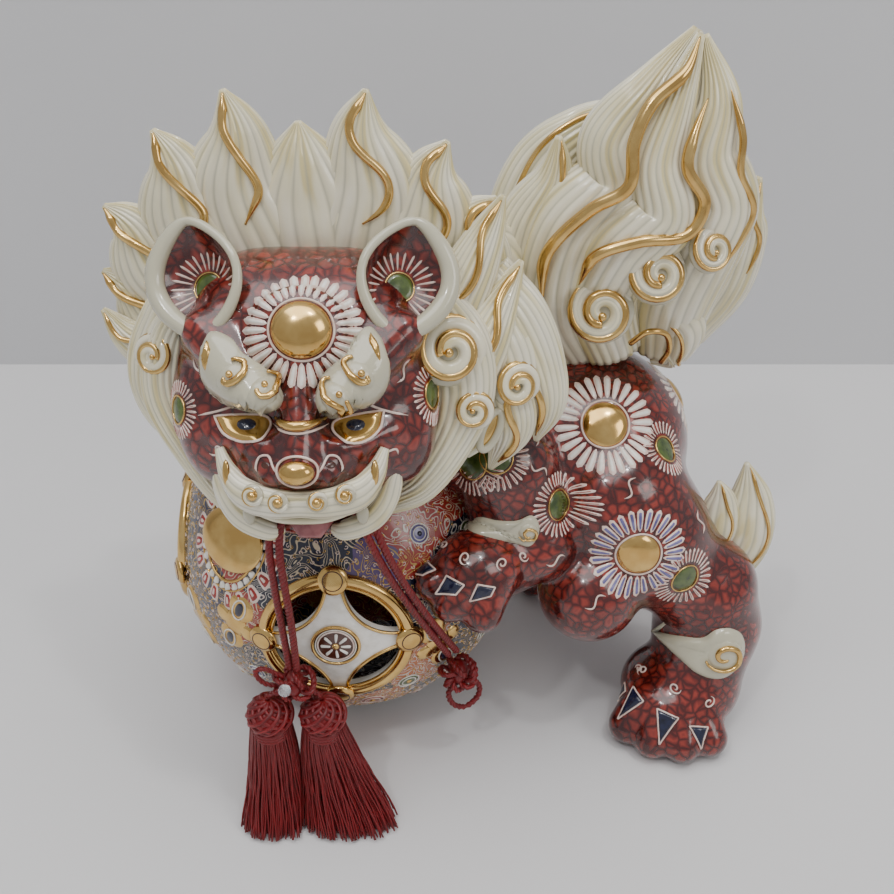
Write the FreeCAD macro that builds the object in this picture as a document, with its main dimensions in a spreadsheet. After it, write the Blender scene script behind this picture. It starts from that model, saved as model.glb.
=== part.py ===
import FreeCAD, Part
import math
import os

# Porcelain guardian lion with one fore paw on an openwork ball, and a doubled
# silk cord through its mouth.  The origin is the centre of the ball's flat
# foot.  +X runs from the ball towards the haunch, -Y is the way the lion
# looks, +Z is up.  All sizes are in millimetres.

Vector = FreeCAD.Vector

doc = FreeCAD.newDocument("guardian_lion")
sheet = doc.addObject("Spreadsheet::Sheet", "Dimensions")
pieces = []
next_row = 1


def keep(alias, value):
    """Put one driving dimension in the sheet and hand back its reference."""
    global next_row
    sheet.set("A%d" % next_row, alias)
    sheet.set("B%d" % next_row, "%g" % value)
    sheet.setAlias("B%d" % next_row, alias)
    next_row += 1
    return "Dimensions." + alias


def value(alias):
    return float(sheet.getContents(sheet.getCellFromAlias(alias)))


def bind(thing, **formulas):
    """Tie properties to the sheet; a double underscore stands for a dot."""
    for name, formula in formulas.items():
        thing.setExpression(name.replace("__", "."), formula)
    return thing


def finish_piece(thing, label):
    """Name an object as one of the pieces that are written out."""
    thing.Label = label
    pieces.append(thing)
    return thing


def place_formulas(label, centre):
    names = []
    for axis, number in zip("xyz", centre):
        names.append(keep("%s_%s" % (label, axis), number))
    return names


def blob(label, centre, radii, turn=(0, 0, 0)):
    """Ellipsoid: centre and half sizes along X, Y and Z, turned about X, Y and Z."""
    thing = doc.addObject("Part::Ellipsoid", label)
    at = place_formulas(label, centre)
    size = []
    for axis, number in zip(("wide", "deep", "high"), radii):
        size.append(keep("%s_%s" % (label, axis), number))
    spin = FreeCAD.Rotation(turn[2], turn[1], turn[0])
    thing.Placement = FreeCAD.Placement(Vector(*centre), spin)
    bind(thing, Radius1=size[2], Radius2=size[0], Radius3=size[1])
    bind(thing, Placement__Base__x=at[0], Placement__Base__y=at[1], Placement__Base__z=at[2])
    return thing


def ball_at(label, centre, radius):
    """Sphere with its centre and radius in the sheet."""
    thing = doc.addObject("Part::Sphere", label)
    at = place_formulas(label, centre)
    bind(thing, Radius=keep(label + "_radius", radius))
    bind(thing, Placement__Base__x=at[0], Placement__Base__y=at[1], Placement__Base__z=at[2])
    return thing


def orbs(label, places, wall=None):
    """Chain of overlapping balls (centre, radius), and with a wall the hollow inside them.

    Each ball's poles lie along the chain, inside its neighbours.
    """
    outer = []
    inner = []
    for count, (centre, radius) in enumerate(places):
        name = "%s_orb_%s" % (label, "abcdefgh"[count])
        before = Vector(*places[max(count - 1, 0)][0])
        after = Vector(*places[min(count + 1, len(places) - 1)][0])
        spin = FreeCAD.Rotation(Vector(0, 0, 1), after - before)
        orb = ball_at(name, centre, radius)
        orb.Placement.Rotation = spin
        outer.append(orb)
        if wall:
            core = doc.addObject("Part::Sphere", name + "_core")
            core.Placement.Rotation = spin
            bind(core, Radius="Dimensions.%s_radius - %s" % (name, wall))
            for axis in "xyz":
                core.setExpression("Placement.Base." + axis, "Dimensions.%s_%s" % (name, axis))
            inner.append(core)
    return outer, inner


def fuse(label, things):
    thing = doc.addObject("Part::MultiFuse", label)
    thing.Shapes = things
    return thing


def cut(label, base, tools):
    """Cut several tools from a base, one after another."""
    result = base
    for count, tool in enumerate(tools):
        step = doc.addObject("Part::Cut", "%s_cut_%d" % (label, count))
        step.Base = result
        step.Tool = tool
        result = step
    return result


def common(label, first, second):
    thing = doc.addObject("Part::Common", label)
    thing.Base = first
    thing.Tool = second
    return thing


def group(label, things):
    thing = doc.addObject("Part::Compound", label)
    thing.Links = things
    return thing


def ring_section(label, at, along, flat, wide, thick):
    """Ellipse across a path: wide is along flat, thick is square to it."""
    ring = doc.addObject("Part::Ellipse", label)
    across = flat - along * flat.dot(along)
    across.normalize()
    spin = FreeCAD.Rotation(across, along.cross(across), along, "ZXY")
    ring.Placement = FreeCAD.Placement(at, spin)
    if wide >= thick:
        bind(ring, MajorRadius=keep(label + "_half_wide", wide))
        bind(ring, MinorRadius=keep(label + "_half_thick", thick))
    else:
        turned = spin.multiply(FreeCAD.Rotation(Vector(0, 0, 1), 90))
        ring.Placement = FreeCAD.Placement(at, turned)
        bind(ring, MajorRadius=keep(label + "_half_thick", thick))
        bind(ring, MinorRadius=keep(label + "_half_wide", wide))
    return ring


def horn(label, path, half_sizes, flat):
    """Loft through ellipses on a path; flat is the way the wide axis lies."""
    rings = []
    for count, point in enumerate(path):
        before = Vector(*path[max(count - 1, 0)])
        after = Vector(*path[min(count + 1, len(path) - 1)])
        along = after - before
        along.normalize()
        wide, thick = half_sizes[count]
        name = "%s_ring_%s" % (label, "abcdefgh"[count])
        rings.append(ring_section(name, Vector(*point), along, Vector(*flat), wide, thick))
    loft = doc.addObject("Part::Loft", label)
    loft.Sections = rings
    loft.Solid = True
    loft.Ruled = False
    return loft


# ---- the openwork ball ----

ball_z = 75.0
ball_radius = 78.0
ball_wall = 5.0
window_turns = {"front": -90, "right": 0, "back": 90, "left": 180}
window_tilt = 4.0
keep("ball_height", ball_z)
keep("ball_radius", ball_radius)
keep("ball_wall", ball_wall)
keep("window_radius", 30)
keep("window_gap", 0.1)
keep("ring_thick", 2.6)
keep("hole_radius", 27)
keep("medallion_radius", 13)
keep("medallion_thick", 3)


def ball_solid(label, radius_formula):
    thing = doc.addObject("Part::Sphere", label)
    bind(thing, Radius=radius_formula, Placement__Base__z="Dimensions.ball_height")
    return thing


def outward(turn, tilt):
    """Turning that carries +Z onto a direction given by its heading and tilt."""
    return FreeCAD.Rotation(Vector(0, 0, 1), turn).multiply(FreeCAD.Rotation(Vector(0, 1, 0), 90 - tilt))


def ball_drill(label, turn, tilt, radius_formula, aside=(0, 0)):
    """Cylinder from the ball's middle outwards, moved aside in its own plane."""
    drill = doc.addObject("Part::Cylinder", label)
    bind(drill, Radius=radius_formula, Height="2 * Dimensions.ball_radius")
    spin = outward(turn, tilt)
    start = Vector(0, 0, ball_z) + spin.multVec(Vector(aside[0], aside[1], 0))
    drill.Placement = FreeCAD.Placement(start, spin)
    return drill


def under_floor():
    """Block that trims everything flat at the height of the table."""
    block = doc.addObject("Part::Box", "below_table")
    block.Length = 600
    block.Width = 600
    block.Height = 100
    block.Placement.Base = Vector(-300, -300, -100)
    return block


table = under_floor()
ball_outer = ball_solid("ball_outer", "Dimensions.ball_radius")


def make_ball_shell():
    room = ball_solid("ball_room", "Dimensions.ball_radius - Dimensions.ball_wall")
    floor = doc.addObject("Part::Box", "ball_floor")
    bind(floor, Length="4 * Dimensions.ball_radius", Width="4 * Dimensions.ball_radius")
    bind(floor, Height="Dimensions.ball_radius + Dimensions.ball_wall")
    bind(floor, Placement__Base__x="-2 * Dimensions.ball_radius")
    bind(floor, Placement__Base__y="-2 * Dimensions.ball_radius")
    bind(floor, Placement__Base__z="-Dimensions.ball_radius")
    room_above = cut("ball_room_trim", room, [floor])
    drills = []
    for side, turn in window_turns.items():
        name = "window_hole_" + side
        formula = "Dimensions.window_radius + Dimensions.window_gap"
        drills.append(ball_drill(name, turn, window_tilt, formula))
    shell = cut("ball_shell", ball_outer, [table, room_above] + drills)
    return finish_piece(shell, "ball_shell")


def make_window(side, turn):
    """Round panel of the ball's wall with four lens-shaped holes."""
    skin = ball_solid("panel_skin_" + side, "Dimensions.ball_radius - 0.4")
    back = ball_solid("panel_back_" + side, "Dimensions.ball_radius - 0.8 * Dimensions.ball_wall")
    disc = ball_drill("panel_disc_" + side, turn, window_tilt, "Dimensions.window_radius")
    panel = common("panel_plate_" + side, cut("panel_wall_" + side, skin, [back]), disc)
    holes = []
    reach = 30.0
    for count, (up, over) in enumerate(((1, 1), (1, -1), (-1, 1), (-1, -1))):
        name = "lens_%s_%d" % (side, count)
        inner = ball_drill(name + "_inner", turn, window_tilt, "Dimensions.hole_radius")
        formula = "Dimensions.hole_radius"
        outer = ball_drill(name + "_outer", turn, window_tilt, formula, (up * reach, over * reach))
        holes.append(common(name, inner, outer))
    return finish_piece(cut("ball_window_" + side, panel, holes), "ball_window_" + side)


def make_window_ring(side, turn):
    """Gilt bead that stands proud round one window."""
    bead = doc.addObject("Part::Torus", "ring_bead_" + side)
    bind(bead, Radius1="Dimensions.window_radius", Radius2="Dimensions.ring_thick")
    spin = outward(turn, window_tilt)
    window_radius = value("window_radius")
    drop = math.sqrt(ball_radius ** 2 - window_radius ** 2)
    centre = Vector(0, 0, ball_z) + spin.multVec(Vector(0, 0, drop))
    bead.Placement = FreeCAD.Placement(centre, spin)
    return bead


def make_medallion(name, turn, tilt):
    """Shallow gilt dome let onto the ball's skin."""
    dome = doc.addObject("Part::Ellipsoid", "medallion_dome_" + name)
    bind(dome, Radius1="Dimensions.medallion_thick", Radius2="Dimensions.medallion_radius")
    bind(dome, Radius3="1.35 * Dimensions.medallion_radius")
    spin = outward(turn, tilt)
    centre = Vector(0, 0, ball_z) + spin.multVec(Vector(0, 0, ball_radius))
    dome.Placement = FreeCAD.Placement(centre, spin)
    return cut("medallion_" + name, dome, [ball_outer])


make_ball_shell()
ring_beads = []
for side, turn in window_turns.items():
    make_window(side, turn)
    ring_beads.append(make_window_ring(side, turn))
ball_body = fuse("ball_body", [ball_outer] + ring_beads)
medallions = [make_medallion("front_left", -130, 31), make_medallion("back_left", 135, 31)]
finish_piece(group("medallions_group", medallions), "ball_medallions")


# ---- the head ----

keep("head_wall", 4.5)
keep("vent_radius", 1.5)


def make_head():
    """Hollow skull and cheeks; the muzzle has a mouth pocket open below and in front."""
    skull_places = [((-31, -62, 188), 23.5), ((-19, -47, 208), 33)]
    skull_places += [((9, -47, 208), 33), ((19, -62, 188), 23.5)]
    muzzle_places = [((-15, -81, 180), 20), ((-4, -83, 182), 22.5), ((7, -81, 180), 20)]
    skull, room_parts = orbs("skull", skull_places, "Dimensions.head_wall")
    muzzle = orbs("muzzle", muzzle_places)[0]
    outer = fuse("head_outer", skull + muzzle)
    room = fuse("head_room", room_parts)
    pinhole = doc.addObject("Part::Cylinder", "head_pinhole")
    bind(pinhole, Radius="Dimensions.vent_radius")
    pinhole.Height = 40
    pinhole.Placement.Base = Vector(2, -40, 160)
    mouth = doc.addObject("Part::Cylinder", "mouth")
    bind(mouth, Radius=keep("mouth_radius", 13), Height=keep("mouth_width", 44))
    sideways = FreeCAD.Rotation(Vector(0, 0, 1), Vector(1, 0, 0))
    mouth.Placement = FreeCAD.Placement(Vector(-23, -88, 163), sideways)
    shell = cut("head_trim", outer, [room, mouth, pinhole])
    finish_piece(shell, "head_shell")
    return outer, mouth


head_outer, mouth = make_head()


# ---- the lion's trunk and legs ----

keep("body_wall", 5)


def make_trunk():
    """Hollow body of overlapping rounded masses, with a firing pinhole under the belly."""
    places = [((28, -18, 171), 33), ((60, 8, 130), 41), ((88, 4, 119), 35), ((110, 12, 121), 44)]
    outer_parts, room_parts = orbs("trunk", places, "Dimensions.body_wall")
    outer = fuse("trunk_outer", outer_parts)
    room = fuse("trunk_room", room_parts)
    vent = doc.addObject("Part::Cylinder", "belly_vent")
    bind(vent, Radius="Dimensions.vent_radius")
    vent.Height = 60
    vent.Placement.Base = Vector(98, 8, 60)
    return outer, cut("trunk_raw", outer, [room, vent, ball_outer, head_outer])


def make_leg(label, places, hosts):
    """Solid limb of overlapping rounded masses, trimmed where it is luted on."""
    raw = fuse(label + "_raw", orbs(label, places)[0])
    return raw, finish_piece(cut(label + "_trim", raw, hosts), label)


trunk_outer, trunk = make_trunk()
finish_piece(trunk, "trunk_shell")
rings_cut = []
for side, bead in zip(window_turns, ring_beads):
    rings_cut.append(cut("ring_" + side, bead, [ball_outer, trunk_outer]))
finish_piece(group("window_rings_group", rings_cut), "ball_window_rings")

near_fore_places = [((70, -28, 136), 22), ((75, -30, 120), 23), ((84, -40, 104), 17), ((70, -46, 102), 17)]
near_fore_places += [((57, -57, 103), 18)]
near_fore_raw, near_fore = make_leg("foreleg_right", near_fore_places, [trunk_outer, ball_body])
far_fore_places = [((46, 40, 140), 22), ((36, 46, 130), 21), ((18, 50, 132), 17), ((0, 54, 136), 17)]
far_fore_raw, far_fore = make_leg("foreleg_left", far_fore_places, [trunk_outer, ball_body])
near_hind_places = [((119, -17, 112), 33), ((130, -20, 94), 33), ((108, -42, 79), 22.5)]
near_hind_places += [((163, -25, 66), 23), ((167, -27, 46), 23.5), ((148, -44, 21), 25), ((164, -41, 21), 26)]
near_hind_raw, near_hind = make_leg("hindleg_right", near_hind_places, [trunk_outer, near_fore_raw, table])
far_hind_places = [((98, 42, 110), 29), ((104, 46, 92), 29), ((126, 64, 62), 21), ((130, 66, 44), 21.5)]
far_hind_places += [((110, 58, 19), 22), ((126, 61, 19), 23)]
far_hind_raw, far_hind = make_leg("hindleg_left", far_hind_places, [trunk_outer, far_fore_raw, table])


# ---- the mouth and face ----

def make_jaw():
    """Lower lip: a shallow bowl under the mouth with a raised rim at its sides."""
    bowl = blob("jaw", (-2, -66, 160), (32, 26, 11))
    jaw = cut("jaw_trim", bowl, [mouth, head_outer, trunk_outer, ball_body])
    finish_piece(jaw, "lower_jaw")
    tongue = blob("tongue_blob", (-1, -80, 154), (11, 14, 4))
    finish_piece(cut("tongue_trim", tongue, [bowl, head_outer]), "tongue")
    return bowl


jaw_outer = make_jaw()


def make_upper_lip():
    path = [(-29, -88, 192), (-26, -97, 181), (-17, -103, 174), (-3, -105, 173)]
    path += [(11, -103, 174), (20, -97, 181), (23, -88, 192)]
    sizes = [(3.0, 3.0), (6.0, 5.0), (7.0, 5.5), (6.5, 5.5), (7.0, 5.5), (6.0, 5.0), (3.0, 3.0)]
    raw = horn("upper_lip_raw", path, sizes, (0, 0, 1))
    finish_piece(cut("upper_lip_trim", raw, [head_outer, mouth, jaw_outer]), "upper_lip")
    return raw


upper_lip_raw = make_upper_lip()


def make_face_details():
    """Nose, forehead boss, eyes and brows, each set onto the head."""
    nose = blob("nose_bead", (-4, -105, 187), (8, 6, 6))
    finish_piece(cut("nose_trim", nose, [head_outer, upper_lip_raw]), "nose")
    boss = blob("boss_dome", (-4, -79, 226), (13, 6, 12), (-28, 0, 0))
    finish_piece(cut("boss_trim", boss, [head_outer]), "forehead_boss")
    for side, middle, eye_turn in (("left", -22, 12), ("right", 15, -12)):
        eye = blob("eyeball_" + side, (middle, -89, 202), (13, 7, 6), (0, 0, -eye_turn))
        eyes.append(eye)
        finish_piece(cut("eye_trim_" + side, eye, [head_outer]), "eye_" + side)
    for side, mirror, eye in (("left", -1, eyes[0]), ("right", 1, eyes[1])):
        path = []
        for out, deep, high in ((37, -66, 225), (30, -77, 222), (22, -86, 216), (12, -92, 208)):
            path.append((-4 + mirror * out, deep, high))
        sizes = [(3.0, 2.5), (9.0, 5.0), (10.0, 6.0), (5.0, 3.5)]
        raw = horn("brow_raw_" + side, path, sizes, (mirror, 0, 1.2))
        finish_piece(cut("brow_trim_" + side, raw, [head_outer, eye]), "brow_" + side)


eyes = []
make_face_details()


def make_ears():
    for side, mirror in (("left", -1), ("right", 1)):
        path = [(-4 + mirror * 33, -56, 224), (-4 + mirror * 38, -58, 238)]
        path += [(-4 + mirror * 40, -57, 250), (-4 + mirror * 38, -54, 261)]
        raw = horn("ear_raw_" + side, path, [(15, 8), (16, 8), (11, 6), (2, 1.5)], (1, 0, 0))
        finish_piece(cut("ear_trim_" + side, raw, [head_outer]), "ear_" + side)
        ears.append(raw)


ears = []
make_ears()


# ---- the mane ----

def make_mane():
    """Crown of flames, the fall of hair behind, and the locks down each cheek."""
    roots = [(-52, 205, 16), (-50, 222, 17), (-38, 232, 17), (-22, 238, 16)]
    roots += [(12, 238, 16), (28, 232, 17), (40, 222, 17), (44, 205, 16)]
    tips = [(-84, 226), (-79, 250), (-57, 278), (-31, 291), (18, 291), (46, 273), (64, 252), (72, 220)]
    flames = []
    for count, ((root_x, root_z, half), (tip_x, tip_z)) in enumerate(zip(roots, tips)):
        middle = ((root_x + tip_x) / 2, -22, (root_z + tip_z) / 2)
        path = [(root_x * 0.7, -22, root_z - 18), (root_x, -22, root_z), middle, (tip_x, -24, tip_z)]
        sizes = [(half, 12), (half, 13), (half * 0.7, 9), (1.5, 1.5)]
        across = Vector(tip_z - root_z, 0, root_x - tip_x)
        flames.append(horn("crown_flame_%d" % count, path, sizes, across))
    cap_places = [((-42, -21, 203), 17), ((-26, -20, 222), 20), ((-5, -19, 229), 21)]
    cap_places += [((16, -20, 222), 20), ((34, -21, 203), 17)]
    crown = fuse("crown_raw", flames + orbs("mane_cap", cap_places)[0])
    finish_piece(cut("crown_trim", crown, [head_outer, trunk_outer] + ears), "mane_crown")
    nape_places = [((-12, 0, 204), 36), ((14, 2, 206), 38), ((36, 10, 178), 42)]
    nape = fuse("nape_raw", orbs("nape", nape_places)[0])
    nape_clear = cut("nape_clear", nape, [trunk_outer, head_outer, ball_body, far_fore_raw])
    finish_piece(cut("nape_trim", nape_clear, [crown]), "mane_back")
    return crown, nape


crown_raw, nape_raw = make_mane()
hosts_of_locks = [head_outer, trunk_outer, crown_raw, nape_raw, jaw_outer, ball_body, near_fore_raw]
right_path = [(40, -46, 222), (52, -50, 202), (50, -56, 182), (38, -68, 164), (26, -76, 156)]
right_sizes = [(13, 10), (17, 14), (17, 14), (12, 10), (5, 5)]
lock_right = horn("lock_right_raw", right_path, right_sizes, (1, 0, 0))
left_path = [(-50, -44, 222), (-58, -48, 202), (-56, -56, 182), (-42, -68, 164), (-32, -76, 156)]
left_sizes = [(11, 9), (12, 11), (11, 11), (9, 8), (5, 5)]
lock_left = horn("lock_left_raw", left_path, left_sizes, (1, 0, 0))
shoulder_path = [(62, -24, 214), (72, -28, 196), (78, -34, 178), (76, -42, 160)]
shoulder_lock = horn("shoulder_lock_raw", shoulder_path, [(14, 12), (17, 14), (14, 12), (3, 3)], (1, 0, 0))
finish_piece(cut("lock_right", lock_right, hosts_of_locks + [ears[1]]), "cheek_lock_right")
finish_piece(cut("lock_left", lock_left, hosts_of_locks + [ears[0]]), "cheek_lock_left")
lock_hosts = [lock_right] + hosts_of_locks
shoulder_clear = cut("shoulder_clear", shoulder_lock, [nape_raw, trunk_outer])
finish_piece(cut("shoulder_lock", shoulder_clear, lock_hosts), "shoulder_lock")


# ---- the tail plume ----

def make_tail():
    core_path = [(119, 26, 160), (122, 30, 186), (128, 32, 212)]
    core_path += [(136, 32, 240), (138, 30, 268), (141, 30, 298)]
    core_sizes = [(20, 18), (36, 22), (42, 22), (38, 18), (24, 12), (2, 2)]
    core = horn("tail_core_raw", core_path, core_sizes, (1, 0, 0))
    finish_piece(cut("tail_core_trim", core, [trunk_outer, nape_raw]), "tail_core")
    left_path = [(108, 22, 190), (92, 24, 208), (84, 28, 230), (90, 34, 252)]
    left_flame = horn("tail_left_raw", left_path, [(16, 14), (16, 13), (12, 10), (2, 2)], (1, 0, 0.6))
    left_hosts = [core, trunk_outer, nape_raw, crown_raw]
    finish_piece(cut("tail_left_trim", left_flame, left_hosts), "tail_flame_left")
    right_path = [(146, 30, 186), (162, 34, 200), (170, 38, 214), (178, 42, 232)]
    right_flame = horn("tail_right_raw", right_path, [(15, 13), (15, 12), (11, 9), (2, 2)], (1, 0, -0.6))
    finish_piece(cut("tail_right_trim", right_flame, [core, trunk_outer]), "tail_flame_right")
    return core, left_flame


tail_core, tail_left_raw = make_tail()


def curl_bead(label, at, facing, size):
    """Spiral curl, made as a ring with a bead in its middle."""
    spin = FreeCAD.Rotation(Vector(0, 0, 1), Vector(*facing))
    ring = doc.addObject("Part::Torus", label + "_ring")
    bind(ring, Radius1=keep(label + "_curl", size), Radius2="0.42 * Dimensions.%s_curl" % label)
    ring.Placement = FreeCAD.Placement(Vector(*at), spin)
    bead = doc.addObject("Part::Ellipsoid", label + "_bead")
    bind(bead, Radius1="0.6 * Dimensions.%s_curl" % label)
    bind(bead, Radius2="0.75 * Dimensions.%s_curl" % label)
    bind(bead, Radius3="0.75 * Dimensions.%s_curl" % label)
    bead.Placement = ring.Placement
    return fuse(label + "_whole", [ring, bead])


tail_curls = [
    curl_bead("tail_curl_low", (116, 6, 190), (-0.2, -1, 0.2), 9),
    curl_bead("tail_curl_high", (132, 8, 208), (0.1, -1, 0.3), 8),
    curl_bead("tail_curl_right", (158, 14, 214), (0.3, -1, 0.4), 6),
]
curls_trimmed = []
for count, curl in enumerate(tail_curls):
    curl_hosts = [tail_core, tail_left_raw, trunk_outer]
    curls_trimmed.append(cut("tail_curl_trim_%d" % count, curl, curl_hosts))
finish_piece(group("tail_curls_group", curls_trimmed), "tail_curls")


# ---- small modelled ornaments on the limbs ----

def make_tufts():
    hock_path = [(172, -14, 66), (180, -8, 86), (181, -6, 102), (180, -4, 118)]
    hock = horn("hock_raw", hock_path, [(11, 8), (14, 9), (11, 7), (1.5, 1.5)], (1, 0, 0.3))
    finish_piece(cut("hock_trim", hock, [near_hind_raw, trunk_outer]), "hock_tuft_right")
    far_path = [(146, 74, 66), (154, 78, 84), (154, 78, 98), (148, 76, 112)]
    far_hock = horn("far_hock_raw", far_path, [(9, 7), (11, 8), (8, 6), (1.5, 1.5)], (1, 0, 0.3))
    finish_piece(cut("far_hock_trim", far_hock, [far_hind_raw, trunk_outer]), "hock_tuft_left")
    elbow_path = [(62, -58, 122), (76, -60, 122), (90, -58, 118), (97, -52, 114)]
    elbow = horn("elbow_raw", elbow_path, [(2, 2), (6, 5), (8, 7), (7, 6)], (0, 0, 1))
    elbow_hosts = [near_fore_raw, trunk_outer, near_hind_raw, ball_body]
    finish_piece(cut("elbow_trim", elbow, elbow_hosts), "elbow_tuft")
    comma_path = [(136, -62, 46), (148, -66, 44), (162, -62, 46), (172, -56, 50), (178, -48, 56)]
    comma_sizes = [(1.5, 1.5), (6, 4), (9, 6), (10, 7), (8, 6)]
    comma = horn("comma_raw", comma_path, comma_sizes, (0, 0, 1))
    finish_piece(cut("comma_trim", comma, [near_hind_raw]), "paw_curl")


make_tufts()


def claw(label, at, facing, size, hosts):
    """Short pointed claw set into the front of a toe."""
    cone = doc.addObject("Part::Cone", label)
    bind(cone, Radius1=keep(label + "_claw", size), Radius2="0.25 * Dimensions.%s_claw" % label)
    bind(cone, Height="1.3 * Dimensions.%s_claw" % label)
    cone.Placement = FreeCAD.Placement(Vector(*at), FreeCAD.Rotation(Vector(0, 0, 1), Vector(*facing)))
    return cut(label + "_trim", cone, hosts)


fore_claws = []
for count, place in enumerate(((40, -68, 102), (48, -74, 96), (60, -75, 92))):
    hosts = [near_fore_raw, ball_body]
    fore_claws.append(claw("fore_claw_%d" % count, place, (-0.35, -0.7, -0.6), 5, hosts))
finish_piece(group("fore_claws_group", fore_claws), "claws_fore_right")
hind_claws = []
for count, place in enumerate(((128, -50, 17), (138, -61, 14), (152, -67, 13), (167, -65, 13))):
    hosts = [near_hind_raw, table]
    facing = ((-0.6, -0.7, -0.3), (-0.4, -1, -0.3), (0, -1, -0.3), (0.3, -1, -0.3))[count]
    hind_claws.append(claw("hind_claw_%d" % count, place, facing, 5.5, hosts))
finish_piece(group("hind_claws_group", hind_claws), "claws_hind_right")


# ---- the cord and its tassels ----

keep("cord_radius", 1.4)
cord_radius = value("cord_radius")


def rounded_path(points):
    """Straight runs joined by tangent arcs as large as the runs allow."""
    edges = []
    radii = []
    start = points[0]
    for before, corner, after in zip(points, points[1:], points[2:]):
        into = corner - before
        out = after - corner
        trim = 0.45 * min(into.Length, out.Length)
        turn = into.getAngle(out)
        radius = trim / math.tan(turn / 2)
        radii.append(radius)
        into.normalize()
        out.normalize()
        enter = corner - into * trim
        leave = corner + out * trim
        inward = out - into
        inward.normalize()
        middle = corner + inward * (radius / math.cos(turn / 2) - radius)
        edges.append(Part.LineSegment(start, enter).toShape())
        edges.append(Part.Arc(enter, middle, leave).toShape())
        start = leave
    edges.append(Part.LineSegment(start, points[-1]).toShape())
    return Part.Wire(edges), radii


def make_cord(label, route):
    """Round cord along a route; prints its radii and its volume against its length."""
    path, radii = rounded_path([Vector(*point) for point in route])
    first = Vector(*route[1]) - Vector(*route[0])
    mouth_end = Part.Circle(Vector(*route[0]), first, cord_radius).toShape()
    solid = path.makePipeShell([Part.Wire([mouth_end])], True, False)
    thing = doc.addObject("Part::Feature", label)
    thing.Shape = solid
    section = math.pi * cord_radius ** 2
    print(label, "length %.1f" % path.Length, "smallest radius %.1f" % min(radii))
    print(label, "volume %.1f against %.1f" % (solid.Volume, section * path.Length))
    return finish_piece(thing, label)


front_route = [
    (-14.5, -91.5, 81), (-14.0, -93.5, 106), (-14.6, -97.0, 131), (-15.0, -98.5, 151),
    (-13.0, -94.5, 163), (-5, -87.5, 167), (6, -87.5, 167), (14, -94.0, 162.5),
    (18.5, -97.5, 151), (25, -92.5, 129), (33, -84.0, 105), (41.5, -75.0, 81),
    (46.5, -68.5, 66),
]
rear_route = [
    (-17.5, -90.5, 81), (-18.2, -92.5, 106), (-18.6, -96.2, 131), (-18.6, -98.0, 150),
    (-17.5, -93.0, 161.5), (-9.5, -84.0, 164), (10.5, -84.0, 164), (18.5, -92.5, 160.5),
    (22.4, -96.5, 150), (28.6, -91.0, 128.5), (36.4, -82.6, 104.5), (44.6, -73.6, 81.5),
    (49.8, -67.2, 67),
]
make_cord("cord_front_strand", front_route)
make_cord("cord_rear_strand", rear_route)


def make_tassel_knot():
    """Knot where the two strands part into the two tassels, with its bead."""
    knot = blob("knot_lump", (-16, -91, 73), (10, 6, 7.5))
    finish_piece(knot, "tassel_knot")
    bead = ball_at("clear_bead", (-19, -98, 76), 2.6)
    finish_piece(cut("bead_trim", bead, [knot]), "knot_bead")
    return knot


tassel_knot = make_tassel_knot()
keep("tassel_gap", 0.6)


def side_block(label, low):
    """Half space on one side of the plane between the two tassels."""
    block = doc.addObject("Part::Box", label)
    block.Length = 100
    block.Width = 200
    block.Height = 200
    block.Placement.Base = Vector(low, -200, -50)
    return block


def make_tassel(side, middle_x, lean, half_foot, clear_block):
    """Knitted head over a skirt that reaches the table and spreads forwards."""
    knot_room = blob("knot_room_" + side, (-16, -91, 73), (10.5, 6.5, 8))
    head = blob("tassel_cap_" + side, (middle_x, -92, 56), (10.4, 10, 9))
    finish_piece(cut("cap_trim_" + side, head, [clear_block, knot_room]), "tassel_head_" + side)
    path = [(middle_x, -92, 52), (middle_x, -93, 40), (middle_x + lean, -94, 24)]
    path += [(middle_x + 2 * lean, -97, 9), (middle_x + 3 * lean, -106, 3.4)]
    sizes = [(7, 7), (10, 8), (half_foot - 4, 9), (half_foot - 1, 8.5), (half_foot, 3.2)]
    skirt = horn("skirt_raw_" + side, path, sizes, (1, 0, 0))
    finish_piece(cut("skirt_trim_" + side, skirt, [head, clear_block, table]), "tassel_skirt_" + side)


middle_plane = -16.5
half_gap = value("tassel_gap") / 2
make_tassel("left", -27.5, 0.2, 13, side_block("right_of_plane", middle_plane - half_gap))
make_tassel("right", -5.5, 2.6, 18, side_block("left_of_plane", middle_plane + half_gap - 100))


def make_loop_knot():
    """Flower knot with its open loop, hanging on the ball's side."""
    heart = blob("loop_heart", (51, -65.5, 54), (9, 6.5, 8), (0, 0, -20))
    loop = doc.addObject("Part::Torus", "open_loop")
    bind(loop, Radius1=keep("loop_radius", 6), Radius2=keep("loop_cord", 2))
    loop_turn = FreeCAD.Rotation(Vector(0, 0, 1), Vector(0.75, -0.6, 0.3))
    loop.Placement = FreeCAD.Placement(Vector(54, -65, 41), loop_turn)
    finish_piece(cut("loop_trim", fuse("loop_knot_raw", [heart, loop]), [ball_body]), "loop_knot")


make_loop_knot()


# ---- check and write ----

doc.recompute()
failed = []
for thing in doc.Objects:
    if "Invalid" in thing.State or "Error" in thing.State:
        failed.append("%s %s" % (thing.Name, thing.State))
for piece in pieces:
    shape = piece.Shape
    if shape.isNull() or not shape.isValid() or shape.Volume < 1:
        failed.append("%s has no good shape" % piece.Label)
        continue
    print("%-22s solids %d volume %.0f" % (piece.Label, len(shape.Solids), shape.Volume))
if failed:
    raise RuntimeError("; ".join(failed))
os.makedirs("parts", exist_ok=True)
for piece in pieces:
    piece.Shape.exportStep("parts/%s.step" % piece.Label)
print(len(pieces), "pieces written")
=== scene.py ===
import bpy
import math
import numpy as np
from mathutils import Matrix, Vector
from mathutils.bvhtree import BVHTree


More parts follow.
